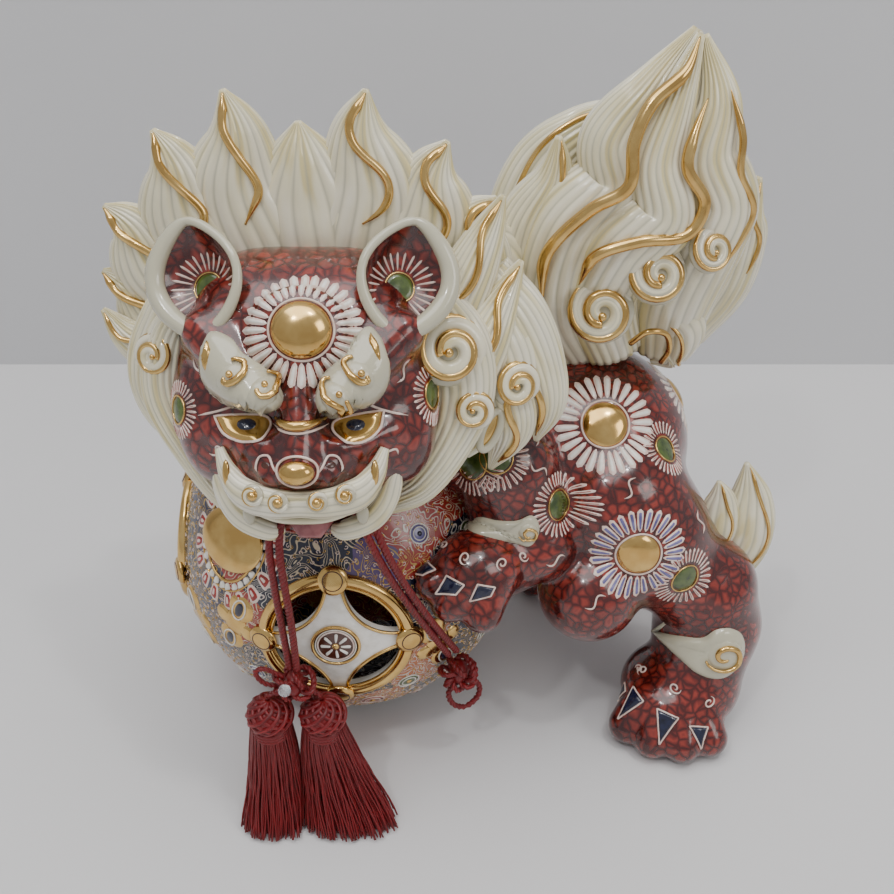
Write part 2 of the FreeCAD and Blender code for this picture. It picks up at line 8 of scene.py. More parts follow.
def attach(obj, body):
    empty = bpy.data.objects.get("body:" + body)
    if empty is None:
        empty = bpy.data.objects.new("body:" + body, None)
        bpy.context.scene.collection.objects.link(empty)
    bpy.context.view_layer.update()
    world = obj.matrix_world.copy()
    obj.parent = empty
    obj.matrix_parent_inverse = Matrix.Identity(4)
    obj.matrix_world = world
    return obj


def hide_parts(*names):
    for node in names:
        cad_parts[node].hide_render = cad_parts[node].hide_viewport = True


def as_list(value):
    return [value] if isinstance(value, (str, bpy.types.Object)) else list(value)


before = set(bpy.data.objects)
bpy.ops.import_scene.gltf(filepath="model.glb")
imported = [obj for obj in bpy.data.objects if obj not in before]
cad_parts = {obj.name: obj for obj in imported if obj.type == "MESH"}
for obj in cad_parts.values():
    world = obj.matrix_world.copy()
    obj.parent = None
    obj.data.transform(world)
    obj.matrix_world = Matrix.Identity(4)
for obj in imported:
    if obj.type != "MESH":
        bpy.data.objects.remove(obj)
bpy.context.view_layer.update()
mm = 0.001
print("frame loaded")

# Shared shape tools. Shapes are worked out in millimetres and written to meshes in metres.

def vec(*numbers):
    return np.array(numbers, dtype=float)


def pointedOut(verts, faces):
    # Faces turned so that the shape's outside is its front: the volume about its middle is above zero.
    corners = np.asarray(verts, dtype=float) - np.mean(verts, axis=0)
    fans = [(f[0], f[i], f[i + 1]) for f in faces for i in range(1, len(f) - 1)]
    a, b, c = (corners[list(column)] for column in zip(*fans))
    total = (a * np.cross(b, c)).sum()
    return faces if total >= 0 else [tuple(face)[::-1] for face in faces]


def addMesh(name, verts, faces, material, smooth=True, uvs=None):
    mesh = bpy.data.meshes.new(name)
    mesh.from_pydata((np.asarray(verts) * mm).tolist(), [], [tuple(int(i) for i in f) for f in faces])
    mesh.polygons.foreach_set("use_smooth", [smooth] * len(mesh.polygons))
    if uvs is not None:
        layer = mesh.uv_layers.new(name="flow")
        loops = np.empty(len(mesh.loops), dtype=np.int32)
        mesh.loops.foreach_get("vertex_index", loops)
        layer.data.foreach_set("uv", np.asarray(uvs, dtype=np.float32)[loops].ravel())
    mesh.materials.append(material)
    mesh.update()
    piece = bpy.data.objects.new(name, mesh)
    bpy.context.collection.objects.link(piece)
    return piece


class Pile:  # collects many small shapes of one finish into one mesh, or more when it grows heavy

    def __init__(self, limit=185000):
        self.shapes = []
        self.limit = limit

    def add(self, verts, faces, uvs=None, closed=True):
        verts = np.asarray(verts, dtype=float)
        if closed:
            faces = pointedOut(verts, faces)
        uvs = np.zeros((len(verts), 2)) if uvs is None else np.asarray(uvs, dtype=float)
        self.shapes.append((verts, faces, uvs, sum(len(f) - 2 for f in faces)))

    def groups(self):
        group, weight = [], 0
        for shape in self.shapes:
            if group and weight + shape[3] > self.limit:
                yield group
                group, weight = [], 0
            group.append(shape)
            weight += shape[3]
        yield group

    def build(self, name, material, body="lion", slot=None):
        # Returns the first piece; the further ones only ride along.
        first = None
        for number, group in enumerate(self.groups(), 1):
            faces, start = [], 0
            for verts, own, _, _ in group:
                faces.extend([tuple(int(i) + start for i in f) for f in own])
                start += len(verts)
            label = name if number == 1 else "%s_part%d" % (name, number)
            verts = np.concatenate([shape[0] for shape in group])
            flow = np.concatenate([shape[2] for shape in group])
            piece = addMesh(label, verts, faces, material, uvs=flow)
            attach(piece, body)
            first = first or piece
        return first


def smoothMin(a, b, soft):
    mix = np.clip(0.5 + 0.5 * (b - a) / soft, 0, 1)
    return b * (1 - mix) + a * mix - soft * mix * (1 - mix)


def smoothMax(a, b, soft):
    return -smoothMin(-a, -b, soft)


def orbField(p, centre, radius):
    return np.linalg.norm(p - vec(*centre), axis=-1) - radius


def eggField(p, centre, radii, turnX=0):  # distance to an ellipsoid, near enough for blending
    local = p - vec(*centre)
    if turnX:
        local = local @ np.array(Matrix.Rotation(math.radians(turnX), 3, "X"))
    radii = vec(*radii)
    k0 = np.linalg.norm(local / radii, axis=-1)
    k1 = np.linalg.norm(local / radii ** 2, axis=-1) + 1e-9
    return k0 * (k0 - 1) / k1


def limbField(p, start, end, startRadius, endRadius):  # distance to a tapered rod with round ends
    a, b = vec(*start), vec(*end)
    t = np.clip(((p - a) @ (b - a)) / ((b - a) @ (b - a)), 0, 1)
    near = a + t[..., None] * (b - a)
    return np.linalg.norm(p - near, axis=-1) - (startRadius + t * (endRadius - startRadius))


def blend(fields, soft):
    result = fields[0]
    for field in fields[1:]:
        result = smoothMin(result, field, soft)
    return result


def skinField(field, low, high, step):
    # A surface net of the field's zero level, pulled onto the level afterwards.
    axes = [np.arange(low[i], high[i] + step, step) for i in range(3)]
    grid = np.stack(np.meshgrid(*axes, indexing="ij"), -1)
    shape = grid.shape[:3]
    values = np.concatenate([field(part.reshape(-1, 3)) for part in grid]).reshape(shape)
    borders = [values.take(end, axis) for axis in range(3) for end in (0, -1)]
    if any((border < 0).any() for border in borders):
        print("note: a skin reaches the edge of its grid", low, high)
    inside = values < 0
    total = np.zeros(tuple(n - 1 for n in shape), dtype=int)
    corners = [(i, j, k) for i in (0, 1) for j in (0, 1) for k in (0, 1)]
    span = lambda i, n: slice(i, n - 1 + i)
    for i, j, k in corners:
        total += inside[span(i, shape[0]), span(j, shape[1]), span(k, shape[2])]
    cells = np.argwhere((total > 0) & (total < 8))
    index = np.full(total.shape, -1)
    index[tuple(cells.T)] = np.arange(len(cells))
    level = [values[tuple((cells + c).T)] for c in corners]
    sums = np.zeros((len(cells), 3))
    hits = np.zeros(len(cells))
    for one in range(8):
        for two in range(one + 1, 8):
            gap = vec(*corners[two]) - vec(*corners[one])
            if abs(gap).sum() != 1:
                continue
            cross = (level[one] < 0) != (level[two] < 0)
            t = level[one][cross] / (level[one][cross] - level[two][cross])
            sums[cross] += vec(*corners[one]) + t[:, None] * gap
            hits[cross] += 1
    verts = vec(*low) + step * (cells + sums / hits[:, None])
    faces = []
    for axis in range(3):
        side = [a for a in range(3) if a != axis]
        ahead = [slice(None)] * 3
        behind = [slice(None)] * 3
        ahead[axis] = slice(1, None)
        behind[axis] = slice(None, -1)
        change = inside[tuple(behind)] != inside[tuple(ahead)]
        spots = np.argwhere(change)
        keep = (spots[:, side] > 0).all(1) & (spots[:, side] < np.array(total.shape)[side]).all(1)
        spots = spots[keep & (spots[:, axis] < total.shape[axis])]
        quad = []
        for da, db in ((0, 0), (1, 0), (1, 1), (0, 1)):
            cell = spots.copy()
            cell[:, side[0]] -= da
            cell[:, side[1]] -= db
            quad.append(index[tuple(cell.T)])
        quad = np.stack(quad, 1)
        outward = inside[tuple(spots.T)]
        if axis == 1:
            outward = ~outward
        quad[~outward] = quad[~outward][:, ::-1]
        faces.append(quad)
    faces = np.concatenate(faces)
    probe = 0.2
    for _ in range(2):
        here = field(verts)
        slope = np.stack([field(verts + way * probe) - here for way in np.eye(3)], -1) / probe
        push = -here[:, None] * slope / ((slope ** 2).sum(1)[:, None] + 1e-6)
        size = np.linalg.norm(push, axis=1)[:, None] + 1e-9
        verts = verts + push * np.minimum(1, step / size)
    return verts, faces


def smoothLine(points, count):  # catmull-rom line through the points, evenly spread in its own numbering
    points = np.asarray(points, dtype=float)
    padded = np.vstack([2 * points[0] - points[1], points, 2 * points[-1] - points[-2]])
    t = np.linspace(0, len(points) - 1, count)
    k = np.minimum(t.astype(int), len(points) - 2)
    f = (t - k)[:, None]
    a, b, c, d = padded[k], padded[k + 1], padded[k + 2], padded[k + 3]
    square = (2 * a - 5 * b + 4 * c - d) * f ** 2
    cube = (3 * b - a - 3 * c + d) * f ** 3
    return 0.5 * (2 * b + (c - a) * f + square + cube)


def unit(rows):
    return rows / (np.linalg.norm(rows, axis=-1)[..., None] + 1e-12)


def pathFrames(line, flat):
    # Tangent, flat side and front of a line; the flat side stays near the given way.
    along = unit(np.gradient(line, axis=0))
    flat = np.broadcast_to(np.asarray(flat, dtype=float), line.shape)
    side = unit(flat - (flat * along).sum(1)[:, None] * along)
    return along, side, np.cross(along, side)


def ringPoints(line, side, front, radii, around):
    angle = np.linspace(0, 2 * math.pi, around, endpoint=False)
    ring = side[:, None] * np.cos(angle)[:, None] + front[:, None] * np.sin(angle)[:, None]
    return (line[:, None] + ring * radii).reshape(-1, 3)


def ringFaces(rows, around, closed=False):
    faces = []
    for i in range(rows if closed else rows - 1):
        n = (i + 1) % rows
        for j in range(around):
            m = (j + 1) % around
            faces.append((i * around + j, i * around + m, n * around + m, n * around + j))
    return faces


def fanFaces(rings, count):  # a fan about the first point, then rings of four-sided faces
    faces = [(0, 1 + j, 1 + (j + 1) % count) for j in range(count)]
    for i in range(rings - 1):
        a, b = 1 + i * count, 1 + (i + 1) * count
        faces += [(a + j, b + j, b + (j + 1) % count, a + (j + 1) % count) for j in range(count)]
    return faces


def closeEnds(verts, faces, uvs, first, last, around, rows):
    base = len(verts)
    verts = np.vstack([verts, first, last])
    uvs = np.vstack([uvs, [0.5, 0], [0.5, 1]])
    for j in range(around):
        n = (j + 1) % around
        faces.append((base, n, j))
        faces.append((base + 1, (rows - 1) * around + j, (rows - 1) * around + n))
    return verts, faces, uvs


def tubeShape(line, radii, around=10):  # round tube along a line, with pinched ends
    line = np.asarray(line, dtype=float)
    radii = np.broadcast_to(radii, (len(line),))
    along = unit(np.gradient(line, axis=0))
    side = np.zeros_like(line)
    current = vec(0, 0, 1) if abs(along[0][2]) < 0.9 else vec(1, 0, 0)
    for i, way in enumerate(along):
        current = current - way * (current @ way)
        current = current / (np.linalg.norm(current) + 1e-12)
        side[i] = current
    verts = ringPoints(line, side, np.cross(along, side), radii[:, None, None], around)
    u = np.tile(np.linspace(0, 2 * math.pi, around, endpoint=False) / (2 * math.pi), len(line))
    v = np.repeat(np.linspace(0, 1, len(line)), around)
    faces = ringFaces(len(line), around)
    return closeEnds(verts, faces, np.stack([u, v], 1), line[0], line[-1], around, len(line))


def closedTube(line, radii, around):
    along = unit(np.roll(line, -1, 0) - np.roll(line, 1, 0))
    side = line - line.mean(0)
    side -= (side * along).sum(1)[:, None] * along
    side = unit(side)
    verts = ringPoints(line, side, np.cross(along, side), radii, around)
    return verts, ringFaces(len(line), around, True), None


class Lock:  # flattened horn of clay along a path, combed down its length

    def __init__(self, points, sizes, flat, rows, around, grooves, depth, swirl=0.6):
        self.line = smoothLine(points, rows)
        spread = smoothLine(np.asarray(sizes, dtype=float), rows)
        self.wide = np.maximum(spread[:, 0], 0.15)
        self.thick = np.maximum(spread[:, 1], 0.15)
        self.side, self.front = pathFrames(self.line, flat)[1:]
        self.rows, self.around = rows, around
        self.grooves, self.depth, self.swirl = grooves, depth, swirl

    def surface(self, rows, angle, lift=0.0):  # rows run 0 to 1 and pi/2 is the front
        at = np.asarray(rows) * (self.rows - 1)
        low = np.clip(at.astype(int), 0, self.rows - 2)
        f = (at - low)[..., None]
        pick = lambda a: a[low] * (1 - f) + a[low + 1] * f
        wide, thick = pick(self.wide[:, None]), pick(self.thick[:, None])
        cos, sin = np.cos(angle)[..., None], np.sin(angle)[..., None]
        side, front = pick(self.side), pick(self.front)
        shell = pick(self.line) + side * cos * wide + front * sin * thick
        out = unit(side * cos / (wide + 0.1) + front * sin / (thick + 0.1))
        return shell + out * lift, out

    def shape(self):
        t = np.repeat(np.linspace(0, 1, self.rows), self.around)
        angle = np.tile(np.linspace(0, 2 * math.pi, self.around, endpoint=False), self.rows)
        shell, out = self.surface(t, angle)
        wave = angle * self.grooves / (2 * math.pi) + self.swirl * np.sin(3.0 * t)
        crest = np.abs(np.sin(math.pi * wave))
        fade = np.clip(np.repeat(np.minimum(self.wide, self.thick), self.around) / 4, 0, 1)
        verts = shell + out * (self.depth * (crest - 0.7) * fade)[:, None]
        faces = ringFaces(self.rows, self.around)
        uvs = np.stack([wave, t], 1)
        return closeEnds(verts, faces, uvs, self.line[0], self.line[-1], self.around, self.rows)

    def ridge(self, start, end, middle, sway, radius, lift=0.3):
        # A raised line that snakes down the front of the lock.
        t = np.linspace(start, end, 44)
        s = np.linspace(0, 1, 44)
        line = self.surface(t, middle + sway * np.sin(2 * math.pi * s), lift)[0]
        taper = np.clip(np.minimum(s, 1 - s) * 7, 0.15, 1) ** 0.7
        return tubeShape(line, radius * taper, 8)


class Wiring:  # adds and joins the nodes of one tree in few lines

    def __init__(self, tree):
        self.tree = tree

    def add(self, kind, inputs=None, **settings):
        node = self.tree.nodes.new(kind)
        for key, value in settings.items():
            setattr(node, key, value)
        for key, value in (inputs or {}).items():
            self.feed(node.inputs[key], value)
        return node

    def feed(self, socket, value):
        if isinstance(value, bpy.types.NodeSocket):
            self.tree.links.new(value, socket)
        elif value is not None:
            socket.default_value = value

    def calc(self, kind, first, second=None, third=None):
        node = self.add("ShaderNodeMath", operation=kind)
        for socket, value in zip(node.inputs, (first, second, third)):
            self.feed(socket, value)
        return node.outputs[0]

    def vector(self, kind, first, second=None, scale=None):
        node = self.add("ShaderNodeVectorMath", operation=kind)
        self.feed(node.inputs[0], first)
        if second is not None:
            self.feed(node.inputs[1], second)
        if scale is not None:
            self.feed(node.inputs["Scale"], scale)
        return node.outputs["Value" if kind in ("DOT_PRODUCT", "LENGTH") else "Vector"]

    def combine(self, x, y, z):
        return self.add("ShaderNodeCombineXYZ", {0: x, 1: y, 2: z}).outputs[0]

    def split(self, socket):
        return self.add("ShaderNodeSeparateXYZ", {0: socket}).outputs


class NodeMaker(Wiring):  # a Geometry Nodes tree with named inputs

    def __init__(self, name, sockets):
        super().__init__(bpy.data.node_groups.new(name, "GeometryNodeTree"))
        for label, kind in sockets:
            self.tree.interface.new_socket(label, in_out="INPUT", socket_type="NodeSocket" + kind)
        self.tree.interface.new_socket("Geometry", in_out="OUTPUT", socket_type="NodeSocketGeometry")
        self.given = self.tree.nodes.new("NodeGroupInput").outputs

    def finish(self, geometry):
        whole = self.add("GeometryNodeRealizeInstances", {0: geometry}).outputs[0]
        coat = self.add("GeometryNodeSetMaterial", {"Geometry": whole, "Material": self.given["Finish"]})
        self.feed(self.tree.nodes.new("NodeGroupOutput").inputs[0], coat.outputs[0])
        return self.tree


def growMesh(tree, values):
    # Runs a tree on an empty object and gives its result as points in millimetres and faces.
    work = bpy.data.objects.new("work", bpy.data.meshes.new("work"))
    bpy.context.collection.objects.link(work)
    modifier = work.modifiers.new("grow", "NODES")
    modifier.node_group = tree
    for item in tree.interface.items_tree:
        if item.item_type == "SOCKET" and item.in_out == "INPUT":
            modifier[item.identifier] = values[item.name]
    made = bpy.data.meshes.new_from_object(work.evaluated_get(bpy.context.evaluated_depsgraph_get()))
    verts = np.array([tuple(v.co) for v in made.vertices]) / mm
    faces = [tuple(f.vertices) for f in made.polygons]
    bpy.data.objects.remove(work)
    return verts, faces


# Glazes, enamels and silk.

class Finish(Wiring):  # one material, built up from noise, ramps and mixes

    def __init__(self, name):
        self.material = bpy.data.materials.new(name)
        self.material.use_nodes = True
        super().__init__(self.material.node_tree)
        self.shader = self.tree.nodes["Principled BSDF"]

    def coords(self):
        return self.add("ShaderNodeTexCoord").outputs["Object"]

    def flow(self):
        return self.add("ShaderNodeUVMap", uv_map="flow").outputs[0]

    def stretched(self, place, scale):
        return self.add("ShaderNodeMapping", {"Vector": place, "Scale": scale}).outputs[0]

    def noise(self, place, scale, detail=3.0, distortion=0.0, output=0):
        node = self.add("ShaderNodeTexNoise", {"Vector": place, "Scale": scale, "Detail": detail,
                                               "Distortion": distortion})
        return node.outputs[output]

    def wobbled(self, place, scale, amount):
        wave = self.noise(place, scale, 2.0, output="Color")
        return self.add("ShaderNodeVectorMath", {0: wave, 1: (amount,) * 3, 2: place},
                        operation="MULTIPLY_ADD").outputs[0]

    def ramp(self, source, stops, interpolation="LINEAR"):
        node = self.add("ShaderNodeValToRGB", {0: source})
        node.color_ramp.interpolation = interpolation
        while len(node.color_ramp.elements) < len(stops):
            node.color_ramp.elements.new(0.5)
        for element, (place, colour) in zip(node.color_ramp.elements, stops):
            element.position = place
            element.color = (*colour, 1)
        return node.outputs[0]

    def mix(self, amount, first, second, kind="MIX"):
        node = self.add("ShaderNodeMix", {0: amount}, data_type="RGBA", blend_type=kind)
        for number, value in ((6, first), (7, second)):
            self.feed(node.inputs[number], (*value, 1) if isinstance(value, tuple) else value)
        return node.outputs[2]

    def bump(self, height, strength, distance):
        node = self.add("ShaderNodeBump", {"Height": height, "Strength": strength, "Distance": distance})
        self.feed(self.shader.inputs["Normal"], node.outputs[0])

    def done(self, colour, **values):
        self.feed(self.shader.inputs["Base Color"], colour)
        for key, value in values.items():
            self.shader.inputs[key.replace("_", " ")].default_value = value
        return self.material


glazeLook = {
    "redCellsPerMetre": 235,
    "redLine": (0.062, 0.0058, 0.004),
    "redDeep": (0.125, 0.0115, 0.0075),
    "redBright": (0.255, 0.030, 0.018),
    "cream": (0.80, 0.75, 0.60),
    "streakYellow": (0.64, 0.53, 0.20),
    # grey of the painted shade in the combed grooves of the cream glaze
    "grooveShadeGrey": (0.40, 0.38, 0.28),
    "gold": (0.78, 0.53, 0.20),
    "navy": (0.006, 0.008, 0.026),
}


def redGlaze():
    # Dark cell lines round brighter middles, over slow patches of light and shade.
    look, finish = glazeLook, Finish("redGlaze")
    coords = finish.coords()
    cells = finish.add("ShaderNodeTexVoronoi", {"Scale": look["redCellsPerMetre"],
                                                "Vector": finish.wobbled(coords, 90, 0.006)},
                       feature="DISTANCE_TO_EDGE")
    edge = cells.outputs["Distance"]
    shade = finish.ramp(edge, [(0.0, look["redLine"]), (0.05, look["redLine"]), (0.12, look["redDeep"]),
                               (0.30, look["redBright"]), (0.7, look["redDeep"])])
    patchy = finish.ramp(finish.noise(coords, 60), [(0.35, (0.55, 0.5, 0.5)), (0.65, (1.15, 1.1, 1.1))])
    finish.bump(edge, 0.14, 0.0010)
    colour = finish.mix(1.0, shade, patchy, "MULTIPLY")
    return finish.done(colour, Roughness=0.2, Coat_Weight=0.6, Coat_Roughness=0.06)


def creamGlaze():
    # Painted shade: grey is laid into the valleys between the combed crests to darken the grooves, and yellow
    # streaks run along the locks.
    look, finish = glazeLook, Finish("creamGlaze")
    flow = finish.flow()
    crest = finish.calc("SINE", finish.calc("MULTIPLY", finish.split(flow)[0], math.pi))
    crest = finish.calc("ABSOLUTE", crest)
    # Painted shade: this valley mask marks the grooves that are darkened towards grey.
    valley = finish.ramp(crest, [(0.0, (1, 1, 1)), (0.34, (0.35,) * 3), (0.6, (0, 0, 0))])
    broad = finish.noise(finish.stretched(flow, (0.55, 1.6, 1)), 1.0, 2.0)
    tint = finish.ramp(broad, [(0.38, look["cream"]), (0.52, (0.80, 0.74, 0.52)),
                               (0.62, look["streakYellow"])])
    cloud = finish.noise(finish.coords(), 45)
    soft = finish.ramp(cloud, [(0.35, (0.90, 0.89, 0.84)), (0.65, (1, 1, 1))])
    base = finish.mix(1.0, finish.mix(0.72, look["cream"], tint), soft, "MULTIPLY")
    # painted shade: up to 72 percent grey where the valley mask is high, in the grooves
    colour = finish.mix(finish.calc("MULTIPLY", valley, 0.72), base, look["grooveShadeGrey"])
    finish.bump(cloud, 0.06, 0.002)
    return finish.done(colour, Roughness=0.16, Coat_Weight=0.7, Coat_Roughness=0.05)


def goldLustre():
    finish = Finish("goldLustre")
    worn = finish.noise(finish.coords(), 120, 4.0)
    tone = finish.ramp(worn, [(0.35, (0.60, 0.37, 0.12)), (0.7, glazeLook["gold"])])
    rough = finish.ramp(worn, [(0.3, (0.11,) * 3), (0.8, (0.24,) * 3)])
    finish.feed(finish.shader.inputs["Roughness"], rough)
    finish.bump(worn, 0.08, 0.001)
    return finish.done(tone, Metallic=1.0)


def enamel(name, colour, dark, roughness=0.22):
    finish = Finish(name)
    cloud = finish.noise(finish.coords(), 260)
    tone = finish.ramp(cloud, [(0.32, dark), (0.62, colour)])
    finish.bump(cloud, 0.12, 0.0006)
    return finish.done(tone, Roughness=roughness, Coat_Weight=0.4, Coat_Roughness=0.08)


def brocadeGlaze():
    # Navy ground with a close net of white and gold worm lines, broken by red and violet patches.
    finish = Finish("brocadeGlaze")
    coords = finish.coords()
    level = finish.calc("MULTIPLY", finish.noise(coords, 95, 1.0, 0.6), 15.0)
    level = finish.calc("MULTIPLY", finish.calc("PINGPONG", level, 0.5), 2.0)
    line = finish.ramp(level, [(0.0, (1, 1, 1)), (0.16, (1, 1, 1)), (0.30, (0, 0, 0))])
    patch = finish.add("ShaderNodeTexVoronoi", {"Scale": 34, "Vector": finish.wobbled(coords, 60, 0.02)})
    pick = finish.add("ShaderNodeSeparateColor", {0: patch.outputs["Color"]}).outputs
    ground = finish.ramp(pick[0], [(0.0, glazeLook["navy"]), (0.3, (0.30, 0.02, 0.012)),
                                   (0.52, (0.012, 0.012, 0.05)), (0.7, (0.42, 0.11, 0.02)),
                                   (0.86, (0.10, 0.06, 0.16))], "CONSTANT")
    thread = finish.ramp(pick[1], [(0.0, (0.62, 0.50, 0.34)), (0.4, (0.50, 0.32, 0.09)),
                                   (0.75, (0.62, 0.57, 0.50))], "CONSTANT")
    finish.bump(line, 0.5, 0.0006)
    colour = finish.mix(line, ground, thread)
    return finish.done(colour, Roughness=0.24, Coat_Weight=0.5, Coat_Roughness=0.06)


def redSilk():
    finish = Finish("redSilk")
    fibre = finish.noise(finish.stretched(finish.flow(), (9, 1.3, 1)), 2.5)
    tone = finish.ramp(fibre, [(0.3, (0.060, 0.0015, 0.003)), (0.55, (0.19, 0.004, 0.006)),
                               (0.75, (0.34, 0.010, 0.012))])
    finish.bump(fibre, 0.35, 0.0004)
    return finish.done(tone, Roughness=0.40, Sheen_Weight=0.12, Sheen_Roughness=0.35,
                       Sheen_Tint=(1.0, 0.35, 0.3, 1))


def clearGlass():
    finish = Finish("clearBeadGlass")
    cloud = finish.noise(finish.coords(), 400, 2.0)
    tone = finish.ramp(cloud, [(0.3, (0.80, 0.82, 0.85)), (0.7, (0.97, 0.98, 1.0))])
    return finish.done(tone, Roughness=0.04, Transmission_Weight=0.75, IOR=1.45)


def stageFinish(name, colour, oneSided):
    finish = Finish(name)
    cloud = finish.noise(finish.coords(), 3, 2.0)
    tone = finish.ramp(cloud, [(0.35, tuple(c * 0.965 for c in colour)), (0.65, colour)])
    if oneSided:
        clear = finish.add("ShaderNodeBsdfTransparent").outputs[0]
        behind = finish.add("ShaderNodeNewGeometry").outputs["Backfacing"]
        mixer = finish.add("ShaderNodeMixShader", {0: behind, 1: finish.shader.outputs[0], 2: clear})
        finish.feed(finish.tree.nodes["Material Output"].inputs[0], mixer.outputs[0])
    return finish.done(tone, Roughness=0.62, Specular_IOR_Level=0.3)


red = redGlaze()
cream = creamGlaze()
gold = goldLustre()
brocade = brocadeGlaze()
silk = redSilk()
glass = clearGlass()
pinkWhite = enamel("pinkWhiteEnamel", (0.80, 0.66, 0.58), (0.66, 0.47, 0.40))
white = enamel("whiteEnamel", (0.86, 0.83, 0.77), (0.74, 0.70, 0.62))
green = enamel("greenEnamel", (0.085, 0.125, 0.022), (0.030, 0.052, 0.010))
navy = enamel("navyEnamel", (0.012, 0.015, 0.045), (0.004, 0.005, 0.016), 0.12)
violet = enamel("violetEnamel", (0.17, 0.15, 0.34), (0.08, 0.07, 0.20))
brown = enamel("brownEnamel", (0.085, 0.022, 0.010), (0.045, 0.012, 0.006))
orange = enamel("orangeEnamel", (0.62, 0.20, 0.05), (0.42, 0.09, 0.02))
redEnamel = enamel("redEnamel", (0.36, 0.020, 0.012), (0.20, 0.010, 0.007))
mauve = enamel("mauveEnamel", (0.38, 0.13, 0.13), (0.24, 0.06, 0.07), 0.18)
print("finishes made")


# Camera, floor, wall and lights.

sceneLook = {
    "eye": (0.0458, -0.4016, 0.4072),
    "pitch": 55.0,
    "lens": 44.3,
    "wallDistance": 0.284,
    "floorColour": (0.70, 0.69, 0.69),
    "wallColour": (0.60, 0.60, 0.61),
    "floorReach": 3000,
    "wallHeight": 2500,
    "skyColour": (0.94, 0.96, 1.0, 1),
    "skyPower": 0.54,
    "lampAim": (0.04, 0.0, 0.12),
    # name, place, size, power and colour of each lamp
    "lamps": [("ceilingPanel", (-0.1, -0.1, 1.7), 1.5, 21, (1, 1, 1)),
              ("sidePanel", (1.3, -0.9, 1.1), 0.7, 6, (1, 0.97, 0.93)),
              ("smallSpotLeft", (-0.35, -0.7, 1.3), 0.07, 2.2, (1, 1, 1)),
              ("smallSpotRight", (0.45, -0.35, 1.5), 0.07, 2.2, (1, 1, 1))],
}


def addStage():
    camera = bpy.data.objects.new("camera", bpy.data.cameras.new("camera"))
    camera.location = sceneLook["eye"]
    camera.rotation_euler = (math.radians(sceneLook["pitch"]), 0, 0)
    camera.data.lens = sceneLook["lens"]
    camera.data.clip_start = 0.01
    bpy.context.collection.objects.link(camera)
    bpy.context.scene.camera = camera
    back, far, top = sceneLook["wallDistance"] / mm, sceneLook["floorReach"], sceneLook["wallHeight"]
    floorLook = stageFinish("floorPaint", sceneLook["floorColour"], False)
    wallLook = stageFinish("wallPaint", sceneLook["wallColour"], True)
    flat = [(-far, -far, 0), (far, -far, 0), (far, far, 0), (-far, far, 0)]
    upright = [(-far, back, 0), (far, back, 0), (far, back, top), (-far, back, top)]
    floor = addMesh("floor", flat, [(0, 1, 2, 3)], floorLook, smooth=False)
    wall = addMesh("wall", upright, [(0, 1, 2, 3)], wallLook, smooth=False)


def addLight(name, place, size, power, colour):
    lamp = bpy.data.lights.new(name, "AREA")
    lamp.size = size
    lamp.energy = power
    lamp.color = colour
    holder = bpy.data.objects.new(name, lamp)
    holder.location = place
    holder.rotation_euler = (Vector(sceneLook["lampAim"]) - Vector(place)).to_track_quat("-Z", "Y").to_euler()
    bpy.context.collection.objects.link(holder)


def addLights():
    world = bpy.data.worlds.new("studio")
    world.use_nodes = True
    sky = world.node_tree.nodes["Background"].inputs
    sky[0].default_value = sceneLook["skyColour"]
    sky[1].default_value = sceneLook["skyPower"]
    bpy.context.scene.world = world
    for lamp in sceneLook["lamps"]:
        addLight(*lamp)


addStage()
addLights()
print("camera, stage and lights placed")


# The lion's body and legs, sculpted over the rounded masses of the casting.

lionForm = {
    "trunk": [((28, -18, 171), 33), ((60, 8, 130), 41), ((88, 4, 119), 35), ((110, 12, 121), 44)],
    "foreRight": [((70, -28, 136), 22), ((75, -30, 120), 23), ((84, -40, 104), 17), ((70, -46, 102), 17),
                  ((57, -57, 103), 18)],
    "foreLeft": [((46, 40, 140), 22), ((36, 46, 130), 21), ((18, 50, 132), 17), ((0, 54, 136), 17)],
    "hindRight": [((119, -17, 112), 33), ((130, -20, 94), 33), ((108, -42, 79), 22.5)],
    "hockRight": [((130, -20, 94), 27), ((163, -25, 66), 23), ((167, -27, 46), 23.5), ((162, -38, 24), 22)],
    "hindLeft": [((98, 42, 110), 29), ((104, 46, 92), 29), ((126, 64, 62), 21), ((130, 66, 44), 21.5),
                 ((120, 60, 20), 20)],
    "ballCentre": (0, 0, 75),
    "ballRadius": 78,
    "step": 2.0,
}


def limbChain(p, masses, soft=6):
    return blend([limbField(p, a, b, ra, rb) for (a, ra), (b, rb) in zip(masses, masses[1:])], soft)


def toeField(p, toes, soft=3):
    return blend([limbField(p, a, b, ra, rb) for a, b, ra, rb in toes], soft)


def hindToes(centre, count, spread, facing, size):
    # Toes fan out from the paw and drop to the ground in front.
    toes = []
    cx, cy = centre
    for i in range(count):
        angle = math.radians(facing + (i - (count - 1) / 2) * spread)
        way = (math.cos(angle), math.sin(angle))
        knuckle = (cx + way[0] * 17, cy + way[1] * 17, size + 9)
        tip = (cx + way[0] * 28, cy + way[1] * 28, size)
        toes.append((knuckle, tip, size + 1.5, size))
    return toes


